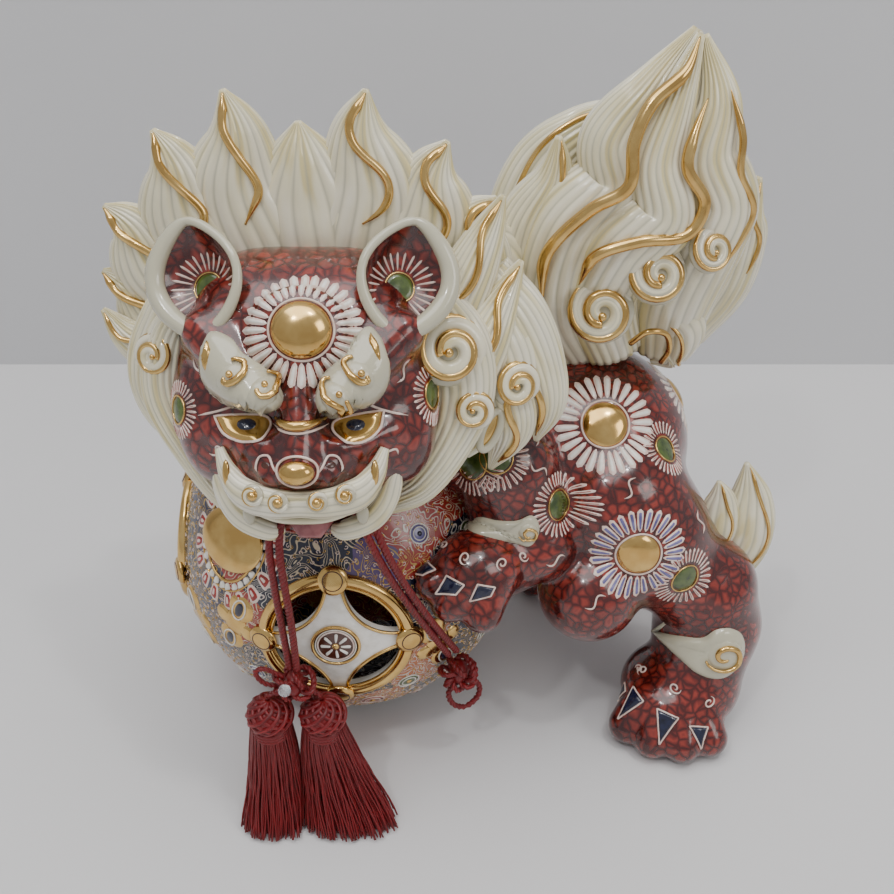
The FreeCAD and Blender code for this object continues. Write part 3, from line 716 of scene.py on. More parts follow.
def lionField(p):
    form = lionForm
    trunk = blend([orbField(p, c, r) for c, r in form["trunk"]], 14)
    trunk = smoothMin(trunk, limbChain(p, form["trunk"], 10) + 3, 8)
    foreRight = blend([orbField(p, c, r) for c, r in form["foreRight"]], 5)
    foreToes = toeField(p, [((60, -58, 108), (47, -70, 98), 9.5, 8.5), ((54, -54, 106), (40, -64, 103), 9, 8),
                            ((66, -60, 106), (60, -72, 94), 9.5, 8.5)])
    foreRight = smoothMin(foreRight, foreToes, 3)
    foreLeft = limbChain(p, form["foreLeft"])
    farToes = toeField(p, [((2, 56, 138), (-12, 62, 128), 9, 8), ((0, 50, 142), (-15, 48, 134), 9, 8),
                           ((6, 60, 136), (2, 70, 124), 9, 8)])
    foreLeft = smoothMin(foreLeft, farToes, 4)
    haunch = blend([orbField(p, c, r) for c, r in form["hindRight"]], 7)
    hock = limbChain(p, form["hockRight"])
    toes = toeField(p, hindToes((152, -40), 4, 27, -102, 9))
    paw = smoothMin(eggField(p, (155, -40, 17), (27, 25, 19)), toes, 3)
    hock = smoothMin(hock, paw, 5)
    hindLeft = limbChain(p, form["hindLeft"])
    toes = toeField(p, hindToes((114, 60), 4, 27, 178, 8))
    farPaw = smoothMin(eggField(p, (116, 60, 16), (22, 22, 17)), toes, 3)
    hindLeft = smoothMin(hindLeft, farPaw, 5)
    body = smoothMin(trunk, haunch, 5)
    body = smoothMin(body, foreRight, 3.5)
    body = smoothMin(body, foreLeft, 6)
    body = smoothMin(body, hock, 6)
    body = smoothMin(body, hindLeft, 7)
    body = smoothMax(body, -orbField(p, form["ballCentre"], form["ballRadius"] + 0.2), 1.0)
    return np.maximum(body, 0.05 - p[..., 2])


lionVerts, lionFaces = skinField(lionField, (-32, -92, -3), (200, 94, 214), lionForm["step"])
lionBody = addMesh("lion_body", lionVerts, lionFaces, red)
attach(lionBody, "lion")
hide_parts("trunk_shell", "foreleg_right", "foreleg_left", "hindleg_right", "hindleg_left")
print("body sculpted", len(lionFaces))


# The head: skull, muzzle, sockets and jaw.

headForm = {
    "skull": [((-31, -62, 188), 23.5), ((-19, -47, 208), 33), ((9, -47, 208), 33), ((19, -62, 188), 23.5)],
    "muzzle": [((-15, -81, 180), 19.5), ((-4, -83, 182), 22), ((7, -81, 180), 19.5)],
    "eyes": [(-23, -88.5, 202.5), (15.5, -88.5, 202.5)],
    "middle": -4,
    "step": 1.15,
}


def headField(p):
    form = headForm
    skull = blend([orbField(p, c, r) for c, r in form["skull"]], 12)
    muzzle = blend([orbField(p, c, r) for c, r in form["muzzle"]], 8)
    head = smoothMin(skull, muzzle, 7)
    mid = form["middle"]
    for side in (-1, 1):
        cheek = eggField(p, (mid + side * 31, -74, 181), (14, 14, 17))
        head = smoothMin(head, cheek, 6)
        brow = limbField(p, (mid + side * 34, -68, 222), (mid + side * 12, -90, 207), 8, 5.5)
        head = smoothMin(head, brow, 6)
        bag = limbField(p, (mid + side * 30, -84, 192), (mid + side * 13, -95, 193), 4, 4.5)
        head = smoothMin(head, bag, 5)
        wing = orbField(p, (mid + side * 9, -101, 186.5), 5.2)
        head = smoothMin(head, wing, 3)
    bridge = limbField(p, (mid, -84, 212), (mid, -103, 190), 5.5, 6.5)
    head = smoothMin(head, bridge, 5)
    boss = eggField(p, (mid, -76, 226), (17, 7, 16), -28)
    head = smoothMin(head, boss, 4)
    for eye in form["eyes"]:
        socket = eggField(p, (eye[0], eye[1] - 4, eye[2]), (13.5, 8.5, 7.2))
        head = smoothMax(head, -socket, 2.5)
    mouth = limbField(p, (-19, -94, 163), (11, -94, 163), 12, 12)
    mouth = smoothMin(mouth, limbField(p, (-12, -80, 164), (4, -80, 164), 9, 9), 3)
    head = smoothMax(head, -mouth, 2)
    return smoothMax(head, -orbField(p, lionForm["ballCentre"], lionForm["ballRadius"] + 1.0), 1.0)


headVerts, headFaces = skinField(headField, (-66, -122, 142), (58, -6, 254), headForm["step"])
headBody = addMesh("lion_head", headVerts, headFaces, red)
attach(headBody, "lion")
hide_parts("head_shell")
print("head sculpted", len(headFaces))


def meshTree(piece):
    verts = [tuple(v.co / mm) for v in piece.data.vertices]
    return BVHTree.FromPolygons(verts, [tuple(f.vertices) for f in piece.data.polygons])


def facingFrame(facing):
    # The outward, rightward and upward ways of a spot that faces one direction.
    out = vec(*facing) / np.linalg.norm(facing)
    right = np.cross(vec(0, 0, 1) if abs(out[2]) < 0.95 else vec(0, 1, 0), out)
    right /= np.linalg.norm(right)
    return out, right, np.cross(out, right)


class Ground:  # lays small shapes onto a curved surface, seen along one direction

    def __init__(self, tree, at, facing, roll=0.0):
        self.tree = tree
        self.at = vec(*at)
        self.out, right, up = facingFrame(facing)
        c, s = math.cos(math.radians(roll)), math.sin(math.radians(roll))
        self.right = right * c + up * s
        self.up = up * c - right * s

    def lay(self, flat, lift=0.3, reach=26):
        # Points (x right, y up) in millimetres dropped onto the surface.
        flat = np.asarray(flat, dtype=float)
        lifts = np.broadcast_to(lift, (len(flat),))
        result = []
        for (x, y), rise in zip(flat, lifts):
            start = self.at + self.right * x + self.up * y
            above = Vector(start + self.out * reach)
            hit, normal, _, _ = self.tree.ray_cast(above, Vector(-self.out), reach * 2)
            if hit is None:
                hit, normal, _, _ = self.tree.find_nearest(Vector(start))
            if normal.dot(Vector(self.out)) < 0:
                normal = -normal
            result.append(np.array(hit) + np.array(normal) * rise)
        return np.array(result)

    def tube(self, flat, radius, lift=0.15):
        line = self.lay(flat, lift)
        s = np.linspace(0, 1, len(line))
        return tubeShape(line, radius * np.clip(np.minimum(s, 1 - s) * 8, 0.25, 1), 6)

    def ring(self, radiusX, radiusY, radius, lift=0.15, count=48, shift=(0, 0)):
        angle = np.linspace(0, 2 * math.pi, count, endpoint=False)
        flat = np.stack([radiusX * np.cos(angle) + shift[0], radiusY * np.sin(angle) + shift[1]], 1)
        return closedTube(self.lay(flat, lift), radius, 6)

    def disc(self, radiusX, radiusY, rise, rings=7, count=40, base=-0.2, shift=(0, 0), power=0.5):
        # Domed disc whose rim sinks a little into the surface.
        verts = [(0.0, 0.0)]
        lifts = [base + rise]
        angle = np.linspace(0, 2 * math.pi, count, endpoint=False)
        for i in range(1, rings + 1):
            t = i / rings
            for a in angle:
                verts.append((radiusX * t * math.cos(a), radiusY * t * math.sin(a)))
                lifts.append(base + rise * max(0.0, 1 - t ** 2) ** power)
        verts = np.array(verts) + vec(*shift)
        return self.lay(verts, np.array(lifts)), fanFaces(rings, count), None

    def patch(self, outline, rise, rows=9, count=96, grooves=0.0):
        # Raised leaf inside a closed outline, with rounded edges and combed lines that follow its edge.
        loop = smoothLine(list(outline) + [outline[0]], count + 1)[:-1]
        heart = loop.mean(0)
        verts, lifts = [heart], [rise]
        for i in range(1, rows + 1):
            t = i / rows
            line = heart + (loop - heart) * t
            verts.extend(line)
            dome = rise * max(0.0, 1 - t ** 5) ** 0.5 - 0.35 * (t > 0.99)
            lifts.extend([dome - grooves * (i % 2) * (t < 0.9)] * count)
        return self.lay(np.array(verts), np.array(lifts)), fanFaces(rows, count), None

    def edge(self, outline, radius, lift=0.3, count=72):
        loop = smoothLine(list(outline) + [outline[0]], count + 1)[:-1]
        return closedTube(self.lay(loop, lift), radius, 6)


def mirrored(outline, side):
    return [(side * x, y) for x, y in outline]


bodyTree = meshTree(lionBody)
headTree = meshTree(headBody)


# Spiral curls, flames and locks of the mane and tail.

hairPile, hairGold = Pile(), Pile()


def addCurl(at, facing, size, hand=1, turns=1.7, roll=0.0, pile=None, goldPile=None):
    # A domed coil of clay with a gilt groove that winds into its middle.
    pile = pile or hairPile
    goldPile = goldPile or hairGold
    out, right, up = facingFrame(facing)
    at = vec(*at)
    count = 44
    t = np.linspace(0, 1, count)
    angle = math.radians(roll) + hand * turns * 2 * math.pi * t
    radius = size * (0.86 - 0.74 * t)
    swell = size * (0.10 + 0.34 * np.sin(math.pi * t * 0.55))
    round_ = right * np.cos(angle)[:, None] + up * np.sin(angle)[:, None]
    line = at + round_ * radius[:, None] + out * swell[:, None]
    thick = size * (0.27 - 0.11 * t) * np.clip(t * 9 + 0.25, 0, 1)
    pile.add(*tubeShape(line, thick, 14))
    groove = at + round_ * (radius + size * 0.21)[:, None] + out * (swell + size * 0.07)[:, None]
    fade = np.clip(np.linspace(0, 1, count - 6) * 5 + 0.2, 0, 1)
    goldPile.add(*tubeShape(groove[6:], size * 0.125 * fade, 8))
    tip = at + round_[-1] * radius[-1] + out * (swell[-1] + size * 0.12)
    goldPile.add(*eggShape(tip, (size * 0.13,) * 3))
    pile.add(*eggShape(at + out * size * 0.02, (size * 0.98, size * 0.98, size * 0.34), out, 26, 14))


def eggShape(at, radii, axis=(0, 0, 1), around=12, rows=8):
    way = vec(*axis) / np.linalg.norm(axis)
    side = np.cross(way, vec(1, 0, 0) if abs(way[0]) < 0.9 else vec(0, 1, 0))
    side /= np.linalg.norm(side)
    front = np.cross(way, side)
    verts = [vec(*at) - way * radii[2]]
    for i in range(1, rows):
        tilt = math.pi * i / rows - math.pi / 2
        for j in range(around):
            a = 2 * math.pi * j / around
            flat = side * math.cos(a) * radii[0] + front * math.sin(a) * radii[1]
            verts.append(vec(*at) + flat * math.cos(tilt) + way * math.sin(tilt) * radii[2])
    verts.append(vec(*at) + way * radii[2])
    faces = [(0, 1 + (j + 1) % around, 1 + j) for j in range(around)]
    for i in range(rows - 2):
        a, b = 1 + i * around, 1 + (i + 1) * around
        faces += [(a + j, a + (j + 1) % around, b + (j + 1) % around, b + j) for j in range(around)]
    top, last = len(verts) - 1, 1 + (rows - 2) * around
    faces += [(top, last + j, last + (j + 1) % around) for j in range(around)]
    return np.array(verts), faces, None


def addLock(points, sizes, flat, ridges=(), grooves=26, depth=0.75, rows=56, pile=None, goldPile=None):
    pile = pile or hairPile
    goldPile = goldPile or hairGold
    lock = Lock(points, sizes, flat, rows, grooves * 5, grooves, depth)
    pile.add(*lock.shape())
    toward = (lock.front @ vec(0, -0.82, 0.57)).mean()
    face = math.pi / 2 if toward > 0 else -math.pi / 2
    for start, end, off, sway, radius in ridges:
        goldPile.add(*lock.ridge(start, end, face + off, sway, radius))


maneForm = {
    "depth": -23,
    # root x and z, half width there, tip x and z, sideways bow
    "crown": [
        ((-48, 196), 18, (-84, 224), -3), ((-46, 214), 20, (-79, 250), -4), ((-36, 226), 22, (-57, 278), -3),
        ((-21, 232), 23, (-31, 292), -3), ((-4, 236), 27, (-6, 281), 0), ((12, 232), 23, (18, 292), 3),
        ((27, 226), 22, (46, 274), 3), ((37, 214), 20, (64, 253), 5), ((42, 196), 17, (71, 220), 5),
    ],
    "ridgeRadius": 1.6,
}


def addCrown():
    form = maneForm
    y = form["depth"]
    for number, (root, half, tip, bow) in enumerate(form["crown"]):
        rise = vec(tip[0] - root[0], 0, tip[1] - root[1])
        across = vec(rise[2], 0, -rise[0])
        across /= np.linalg.norm(across)
        low = (root[0] - rise[0] * 0.55, y + 4, root[1] - rise[2] * 0.55)
        start = (root[0], y, root[1])
        bend = vec(root[0], y, root[1]) + rise * 0.42 + across * bow
        neck = vec(root[0], y - 1, root[1]) + rise * 0.76 - across * bow * 0.4
        points = [low, start, bend, neck, (tip[0], y - 1, tip[1])]
        sizes = [(half, 13), (half, 14), (half * 0.9, 11.5), (half * 0.46, 7), (1.0, 1.0)]
        ridges = [] if number == 4 else [(0.40, 0.985, 0.0, 0.42, form["ridgeRadius"])]
        addLock(points, sizes, across, ridges, grooves=24, depth=0.8)
    # The thick cap of hair that the flames grow from, and the valley fill behind.
    for x, z, half in ((-30, 212, 25), (-4, 222, 26), (22, 212, 25)):
        addLock([(x, y + 8, z - 26), (x, y + 6, z), (x * 1.25, y + 5, z + 24), (x * 1.4, y + 5, z + 36)],
                [(half, 14), (half, 15), (half * 0.8, 9), (half * 0.25, 3)], (1, 0, 0), grooves=30)


def addCheekHair():
    # Viewer's right: locks fall from the crown past the cheek, with coils on their crests.
    addLock([(38, -46, 176), (48, -48, 190), (57, -45, 204), (65, -39, 218), (73, -34, 233)],
            [(12, 10), (15, 12), (13, 11), (8, 7), (1, 1)], (1, 0, -0.6), [(0.42, 0.97, -0.1, 0.3, 1.5)])
    addLock([(30, -44, 196), (42, -42, 210), (52, -38, 226), (60, -32, 242), (66, -29, 256)],
            [(11, 9), (13, 10), (11, 9), (7, 6), (1, 1)], (1, 0, -0.5), [(0.4, 0.97, -0.2, 0.3, 1.4)])
    addLock([(54, -30, 214), (64, -36, 204), (68, -40, 190), (62, -44, 174), (52, -50, 158)],
            [(10, 9), (14, 12), (14, 12), (12, 10), (3, 3)], (1, -0.2, 0.3))
    addLock([(40, -44, 224), (47, -50, 208), (50, -54, 190), (45, -60, 172), (34, -68, 156), (20, -74, 148)],
            [(9, 8), (15, 11), (14, 11), (11, 9), (8, 7), (2, 2)], (1, -0.3, 0.2))
    addLock([(60, -30, 226), (72, -34, 210), (80, -38, 192), (84, -42, 176), (81, -44, 160)],
            [(10, 8), (12, 10), (11, 9), (8, 7), (1, 1)], (1, -0.1, 0.2), [(0.1, 0.95, 0.35, 0.25, 1.4)])
    addLock([(62, -40, 196), (68, -46, 182), (70, -48, 168), (63, -49, 150)],
            [(8, 7), (11, 9), (9, 8), (1, 1)], (1, -0.1, 0.2), [(0.25, 0.9, -0.25, 0.15, 1.4)])
    addCurl((46, -58, 209), (0.25, -0.85, 0.45), 13.5, 1, roll=-60)
    addCurl((71, -50, 190), (0.35, -0.85, 0.3), 9.5, 1, roll=-70)
    addCurl((55, -63, 187), (0.2, -0.9, 0.3), 8, 1, roll=-100)
    addSlit((62, -57, 174), (0.3, -0.9, 0.3), 8, 60)
    addSlit((43, -67, 161), (0.3, -0.9, 0.2), 6, 50)
    addSlit((34, -72, 154), (0.3, -0.9, 0.2), 5, 20)
    # Viewer's left.
    addLock([(-44, -34, 228), (-54, -40, 214), (-62, -44, 196), (-60, -48, 178), (-48, -58, 160)],
            [(10, 9), (12, 11), (12, 11), (10, 9), (2.5, 2.5)], (1, 0.2, -0.3), [(0.1, 0.7, -0.5, 0.2, 1.0)])
    addLock([(-46, -46, 222), (-54, -52, 208), (-56, -58, 190), (-48, -66, 172), (-36, -74, 156),
             (-24, -76, 149)],
            [(7, 6), (10, 8), (10, 8), (8, 7), (6, 5), (2, 2)], (1, 0.3, -0.2))
    addCurl((-59, -56, 206), (-0.35, -0.85, 0.4), 8.5, -1, roll=240)
    addSlit((-57, -64, 186), (-0.4, -0.85, 0.2), 6.5, 110)
    addLock([(-58, -30, 204), (-68, -32, 198), (-76, -33, 202), (-84, -32, 212)],
            [(10, 9), (11, 9), (7, 6), (1, 1)], (0.3, 0, 1), [(0.3, 0.97, 0.2, 0.3, 1.0)])


def addSlit(at, facing, size, roll):
    # An almond hollow lined with gold between raised lips.
    out, right, up = facingFrame(facing)
    c, s = math.cos(math.radians(roll)), math.sin(math.radians(roll))
    axis, cross = right * c + up * s, up * c - right * s
    t = np.linspace(0, 2 * math.pi, 32, endpoint=False)
    rim = vec(*at) + axis * (np.cos(t) * size)[:, None] + cross * (np.sin(t) * size * 0.4)[:, None]
    hairPile.add(*closedTube(rim + out * size * 0.12, size * 0.2, 10))
    verts, faces, _ = eggShape((0, 0, 0), (size * 0.98, size * 0.4, size * 0.14), (0, 0, 1), 20, 8)
    hairGold.add(vec(*at) + verts[:, [1, 0, 2]] @ np.stack([axis, cross, out]), faces)


def addNape():
    # The fall of hair behind: seven wavy locks down the neck to the shoulders.
    for x, tilt, low in ((-50, -0.5, 166), (-34, -0.3, 158), (-16, -0.1, 160), (4, 0.0, 158), (24, 0.15, 160),
                         (44, 0.35, 158), (62, 0.5, 160)):
        sway = 5 * (1 if (x // 2) % 2 else -1)
        deep = 30 - abs(x - 6) * 0.32
        points = [(x * 0.7, -12, 236), (x * 0.9, 8, 224), (x + sway, deep, 202), (x - sway, deep + 3, 180),
                  (x + tilt * 10, deep - 4, low)]
        sizes = [(10, 8), (14, 12), (15, 14), (12, 11), (2, 2)]
        addLock(points, sizes, (1, 0, 0), grooves=16)
        line = smoothLine(points, 40)
        hairGold.add(*tubeShape(line[5:38] + vec(8, 11, 0), 1.0, 8))
    under = [((-12, 0, 204), 34), ((12, 2, 206), 36), ((34, 8, 180), 38)]
    verts, faces = skinField(lambda p: blend([orbField(p, centre, radius) for centre, radius in under], 12),
                             (-55, -50, 130), (80, 52, 250), 3.0)
    flow = np.stack([np.arctan2(verts[:, 0] - 10, verts[:, 1]) * 18, verts[:, 2] / 60], 1)
    hairPile.add(verts, faces, flow)


def addTail():
    # Deep S-shaped ropes of hair that twist up to one point.
    addLock([(104, 20, 168), (94, 14, 196), (99, 12, 226), (114, 12, 244), (111, 14, 262), (124, 16, 282),
             (138, 20, 301)],
            [(16, 14), (21, 17), (21, 17), (17, 14), (14, 12), (8, 7), (1.5, 1.5)], (1, 0, 0.25), rows=84)
    addLock([(116, 14, 170), (108, 8, 198), (116, 4, 222), (130, 4, 236), (126, 6, 256), (131, 9, 276),
             (139, 16, 300)],
            [(14, 12), (17, 14), (18, 15), (15, 14), (12, 11), (8, 7), (1.5, 1.5)], (1, 0, 0.2),
            grooves=24, rows=84)
    addLock([(140, 24, 168), (141, 16, 196), (149, 12, 222), (154, 12, 238), (146, 13, 256), (148, 15, 276),
             (141, 19, 299)],
            [(15, 14), (19, 16), (18, 15), (15, 14), (14, 12), (9, 8), (1.5, 1.5)], (1, 0, -0.2),
            grooves=24, rows=84)
    addLock([(122, 34, 164), (124, 40, 200), (134, 42, 236), (136, 38, 268), (140, 26, 298)],
            [(24, 16), (36, 20), (30, 18), (17, 12), (2, 2)], (1, 0, 0), grooves=40)
    addLock([(94, 26, 176), (80, 18, 200), (80, 16, 226), (88, 15, 246), (89, 15, 262)],
            [(14, 12), (16, 13), (14, 11), (8, 7), (1.2, 1.2)], (1, 0, 0.2), [(0.3, 0.98, 0.5, 0.2, 1.3)])
    addLock([(92, 34, 186), (80, 34, 214), (86, 35, 240), (100, 36, 256), (116, 36, 266)],
            [(14, 10), (17, 12), (16, 11), (11, 9), (5, 4)], (1, 0, -0.8), [(0.25, 0.9, -0.7, 0.1, 1.1)])
    addLock([(150, 32, 170), (164, 32, 192), (170, 34, 212), (171, 34, 224), (175, 35, 238)],
            [(13, 11), (14, 12), (12, 10), (8, 7), (1.2, 1.2)], (1, 0, -0.2), [(0.35, 0.97, 0.4, 0.2, 1.1)])
    addLock([(132, 14, 190), (146, 10, 184), (144, 12, 168), (135, 14, 162)],
            [(7, 6), (9, 8), (7, 6), (1.5, 1.5)], (1, 0, 1), [(0.1, 0.9, 0.3, 0.15, 0.9)], grooves=12)
    ribbons = [
        ([(84, -4, 200), (85, -5, 222), (100, -6, 240), (114, -7, 250), (115, -4, 266), (121, 1, 279),
          (133, 6, 289), (138, 12, 300)], 2.6),
        ([(98, -8, 210), (103, -12, 224), (119, -12, 230), (138, -8, 231), (144, -5, 243), (136, -5, 256),
          (137, -2, 267), (142, 4, 280)], 2.4),
        ([(156, -1, 214), (165, 2, 236), (158, 2, 252), (157, 4, 266), (151, 8, 282)], 1.5),
    ]
    for points, radius in ribbons:
        line = smoothLine(points, 70)
        s = np.linspace(0, 1, 70)
        hairGold.add(*tubeShape(line, radius * np.clip(np.minimum(s * 9, (1 - s) * 5) + 0.12, 0.12, 1), 12))
    addCurl((108, -5, 197), (-0.05, -0.9, 0.35), 14, 1, roll=20)
    addCurl((129, -5, 213), (0.05, -0.85, 0.45), 12.5, 1, roll=20)
    addCurl((149, -2, 222), (0.35, -0.8, 0.4), 9.5, 1, roll=10)
    arch = smoothLine([(122, -2, 180), (128, -5, 187), (136, -3, 185), (139, 0, 176), (137, 3, 168)], 30)
    hairGold.add(*tubeShape(arch, 1.3, 8))


def addTufts():
    addLock([(170, -14, 62), (182, -10, 82), (183, -7, 102), (179, -5, 121)],
            [(12, 8), (13, 9), (10, 7), (1, 1)], (1, 0, 0.3), [(0.2, 0.97, 0.55, 0.2, 0.9)], grooves=16)
    addLock([(160, -16, 72), (167, -14, 92), (168, -13, 106), (166, -12, 116)],
            [(8, 7), (10, 8), (7, 5), (1, 1)], (1, 0, 0.3), [(0.2, 0.97, 0.4, 0.2, 0.8)], grooves=12)
    addLock([(142, 72, 64), (154, 78, 84), (154, 78, 98), (148, 76, 112)], [(9, 7), (11, 8), (8, 6), (1, 1)],
            (1, 0, 0.3), [(0.2, 0.97, 0.4, 0.2, 0.8)], grooves=12)


tuftForm = {
    # leaf-shaped tufts of the elbow and the hind paw: place, facing, outline, rise, curl place and size
    "elbow": ((73, -54, 122), (-0.08, -0.80, 0.58),
              [(-21.0, 0.0), (-15.2, 4.6), (-6.9, 3.9), (1.0, 4.4), (6.9, 6.9), (10.2, 3.6), (10.2, -1.8),
               (6.9, -6.2), (1.0, -5.4), (-8.8, -3.4), (-16.7, -1.6)], 2.6, (5.4, 0.4), 3.9),
    "paw": ((164, -54, 51), (-0.10, -0.82, 0.56),
            [(-26.0, 5.6), (-14.9, 6.6), (-5.3, 7.4), (0.0, 11.7), (6.4, 12.8), (12.8, 9.6), (14.7, 2.1),
             (12.8, -5.3), (7.5, -10.7), (1.1, -11.9), (-6.4, -9.6), (-12.4, -5.0), (-20.0, 1.0)],
            3.4, (4.6, 1.0), 7.8),
}


def addLeafTuft(at, facing, outline, rise, curlAt, curlSize):
    ground = Ground(bodyTree, at, facing)
    hairPile.add(*ground.patch(outline, rise, rows=15, count=110, grooves=0.26))
    hairPile.add(*ground.disc(curlSize * 1.1, curlSize * 1.1, rise + 1.3, 9, 48, shift=curlAt, power=0.3))
    t = np.linspace(0, 1, 60)
    angle = math.radians(200) + t * 8.2
    radius = curlSize * (1 - 0.82 * t)
    flat = np.stack([curlAt[0] + radius * np.cos(angle), curlAt[1] + radius * np.sin(angle)], 1)
    line = ground.lay(flat, rise + 1.0)
    hairGold.add(*tubeShape(line, curlSize * (0.07 + 0.10 * np.sin(t * math.pi)), 8))


for name in ("elbow", "paw"):
    addLeafTuft(*tuftForm[name])
addCrown()
addCheekHair()
addNape()
addTail()
addTufts()
hair = hairPile.build("mane_and_tail", cream, slot="cream_glaze")
hairGold.build("gilt_hair_lines", gold, slot="gold_lustre")
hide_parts("mane_crown", "mane_back", "cheek_lock_right", "cheek_lock_left", "shoulder_lock",
            "tail_core", "tail_flame_left", "tail_flame_right", "tail_curls", "hock_tuft_right",
            "hock_tuft_left", "elbow_tuft", "paw_curl")
print("mane, tail and tufts combed", len(hair.data.polygons))


# Petal rings by Geometry Nodes: bars of enamel that lie on whatever surface is under them.

def petalTree():
    maker = NodeMaker("petalRing", [
        ("Petals", "Int"), ("Inner", "Float"), ("Outer", "Float"), ("Width", "Float"), ("Lift", "Float"),
        ("Stretch", "Float"), ("Seed", "Int"), ("Centre", "Vector"), ("Turn", "Rotation"),
        ("Surface", "Object"), ("Finish", "Material")])
    add, calc, vector, given = maker.add, maker.calc, maker.vector, maker.given
    sheet = add("GeometryNodeMeshGrid", {0: 1.0, 1: 1.0, 2: 8, 3: 5}).outputs["Mesh"]
    spot = add("GeometryNodeInputPosition").outputs[0]
    parts = maker.split(spot)
    run = calc("ADD", parts[0], 0.5)
    wide = calc("POWER", calc("MAXIMUM", calc("SINE", calc("MULTIPLY", run, math.pi)), 0.0), 0.22)
    wide = calc("MULTIPLY", wide, calc("MULTIPLY_ADD", run, 0.5, 0.5))
    far = calc("MULTIPLY_ADD", run, calc("SUBTRACT", given["Outer"], given["Inner"]), given["Inner"])
    across = calc("MULTIPLY", calc("MULTIPLY", parts[1], given["Width"]), wide)
    hump = calc("SUBTRACT", 1.0, calc("POWER", calc("ABSOLUTE", calc("MULTIPLY", parts[1], 2.0)), 2.5))
    ends = calc("MINIMUM", calc("MULTIPLY", calc("MINIMUM", run, calc("SUBTRACT", 1.0, run)), 7.0), 1.0)
    high = calc("SUBTRACT", calc("MULTIPLY", calc("MULTIPLY", hump, ends), given["Lift"]), 0.12 * mm)
    shaped = add("GeometryNodeSetPosition", {"Geometry": sheet, "Position": maker.combine(far, across, high)})
    spots = add("GeometryNodePoints", {"Count": given["Petals"]})
    jitter = add("FunctionNodeRandomValue", {2: -0.12, 3: 0.12, "Seed": given["Seed"]}, data_type="FLOAT")
    index = add("GeometryNodeInputIndex").outputs[0]
    wedge = calc("DIVIDE", 2 * math.pi, given["Petals"])
    turn = calc("MULTIPLY", calc("ADD", index, jitter.outputs[1]), wedge)
    placed = add("GeometryNodeInstanceOnPoints", {"Points": spots.outputs[0], "Instance": shaped.outputs[0],
                                                  "Rotation": maker.combine(0.0, 0.0, turn)})
    solid = add("GeometryNodeRealizeInstances", {0: placed.outputs[0]})
    moved = add("GeometryNodeTransform", {"Geometry": solid.outputs[0], "Translation": given["Centre"],
                                          "Rotation": given["Turn"],
                                          "Scale": maker.combine(1.0, given["Stretch"], 1.0)})
    outWay = add("FunctionNodeRotateVector", {0: (0, 0, 1), 1: given["Turn"]}).outputs[0]
    rise = vector("DOT_PRODUCT", vector("SUBTRACT", spot, given["Centre"]), outWay)
    flat = vector("SUBTRACT", spot, vector("SCALE", outWay, scale=rise))
    target = add("GeometryNodeObjectInfo", {"Object": given["Surface"]}).outputs["Geometry"]
    above = vector("ADD", flat, vector("SCALE", outWay, scale=0.02))
    down = vector("SCALE", outWay, scale=-1.0)
    cast = add("GeometryNodeRaycast", {"Target Geometry": target, "Source Position": above,
                                       "Ray Direction": down, "Ray Length": 0.05})
    raised = vector("SCALE", cast.outputs["Hit Normal"], scale=rise)
    landed = vector("ADD", cast.outputs["Hit Position"], raised)
    lay = add("GeometryNodeSetPosition", {"Geometry": moved.outputs[0], "Selection": cast.outputs["Is Hit"],
                                          "Position": landed})
    return maker.finish(lay.outputs[0])


petalRing = petalTree()
enamelPiles = {}


def pileOf(name):
    return enamelPiles.setdefault(name, Pile())


def addPetals(ground, surface, finish, count, inner, outer, width, lift=0.45, stretch=1.0):
    basis = Matrix([[ground.right[i], ground.up[i], ground.out[i]] for i in range(3)])
    values = {"Petals": count, "Inner": inner * mm, "Outer": outer * mm, "Width": width * mm,
              "Lift": lift * mm, "Stretch": stretch, "Seed": 1, "Centre": tuple(ground.at * mm),
              "Turn": basis.to_euler(), "Surface": surface, "Finish": finish}
    pileOf(finish.name).add(*growMesh(petalRing, values), closed=False)


def addFlower(tree, surface, at, facing, outer, style):
    ground = Ground(tree, at, facing)
    heart, rim = outer * 0.44, outer * 0.46
    if style in ("white", "violet"):
        fill = white if style == "white" else violet
        addPetals(ground, surface, pinkWhite, 28, outer * 0.49, outer, outer * 0.195)
        addPetals(ground, surface, fill, 28, outer * 0.52, outer * 0.96, outer * 0.125, 0.62)
        pileOf(gold.name).add(*ground.disc(heart, heart, 2.2))
        pileOf(pinkWhite.name).add(*ground.ring(rim, rim, 0.45))
    else:
        addPetals(ground, surface, pinkWhite, 32, outer * 0.54, outer, outer * 0.115)
        addPetals(ground, surface, redEnamel, 32, outer * 0.60, outer * 0.93, outer * 0.045, 0.56)
        pileOf(green.name).add(*ground.disc(heart, heart, 0.8))
        pileOf(gold.name).add(*ground.ring(rim, rim, 0.38))


def addSquiggle(tree, at, facing, size, roll, kind="s"):
    ground = Ground(tree, at, facing, roll)
    if kind == "s":
        t = np.linspace(-1, 1, 24)
        flat = np.stack([t * size, np.sin(t * 3.3) * size * 0.33], 1)
    else:
        t = np.linspace(0.2, 1, 26)
        a = t * 2 * math.pi * 1.6
        flat = np.stack([np.cos(a) * t * size, np.sin(a) * t * size * 0.8], 1)
    pileOf(pinkWhite.name).add(*ground.tube(flat, 0.42))


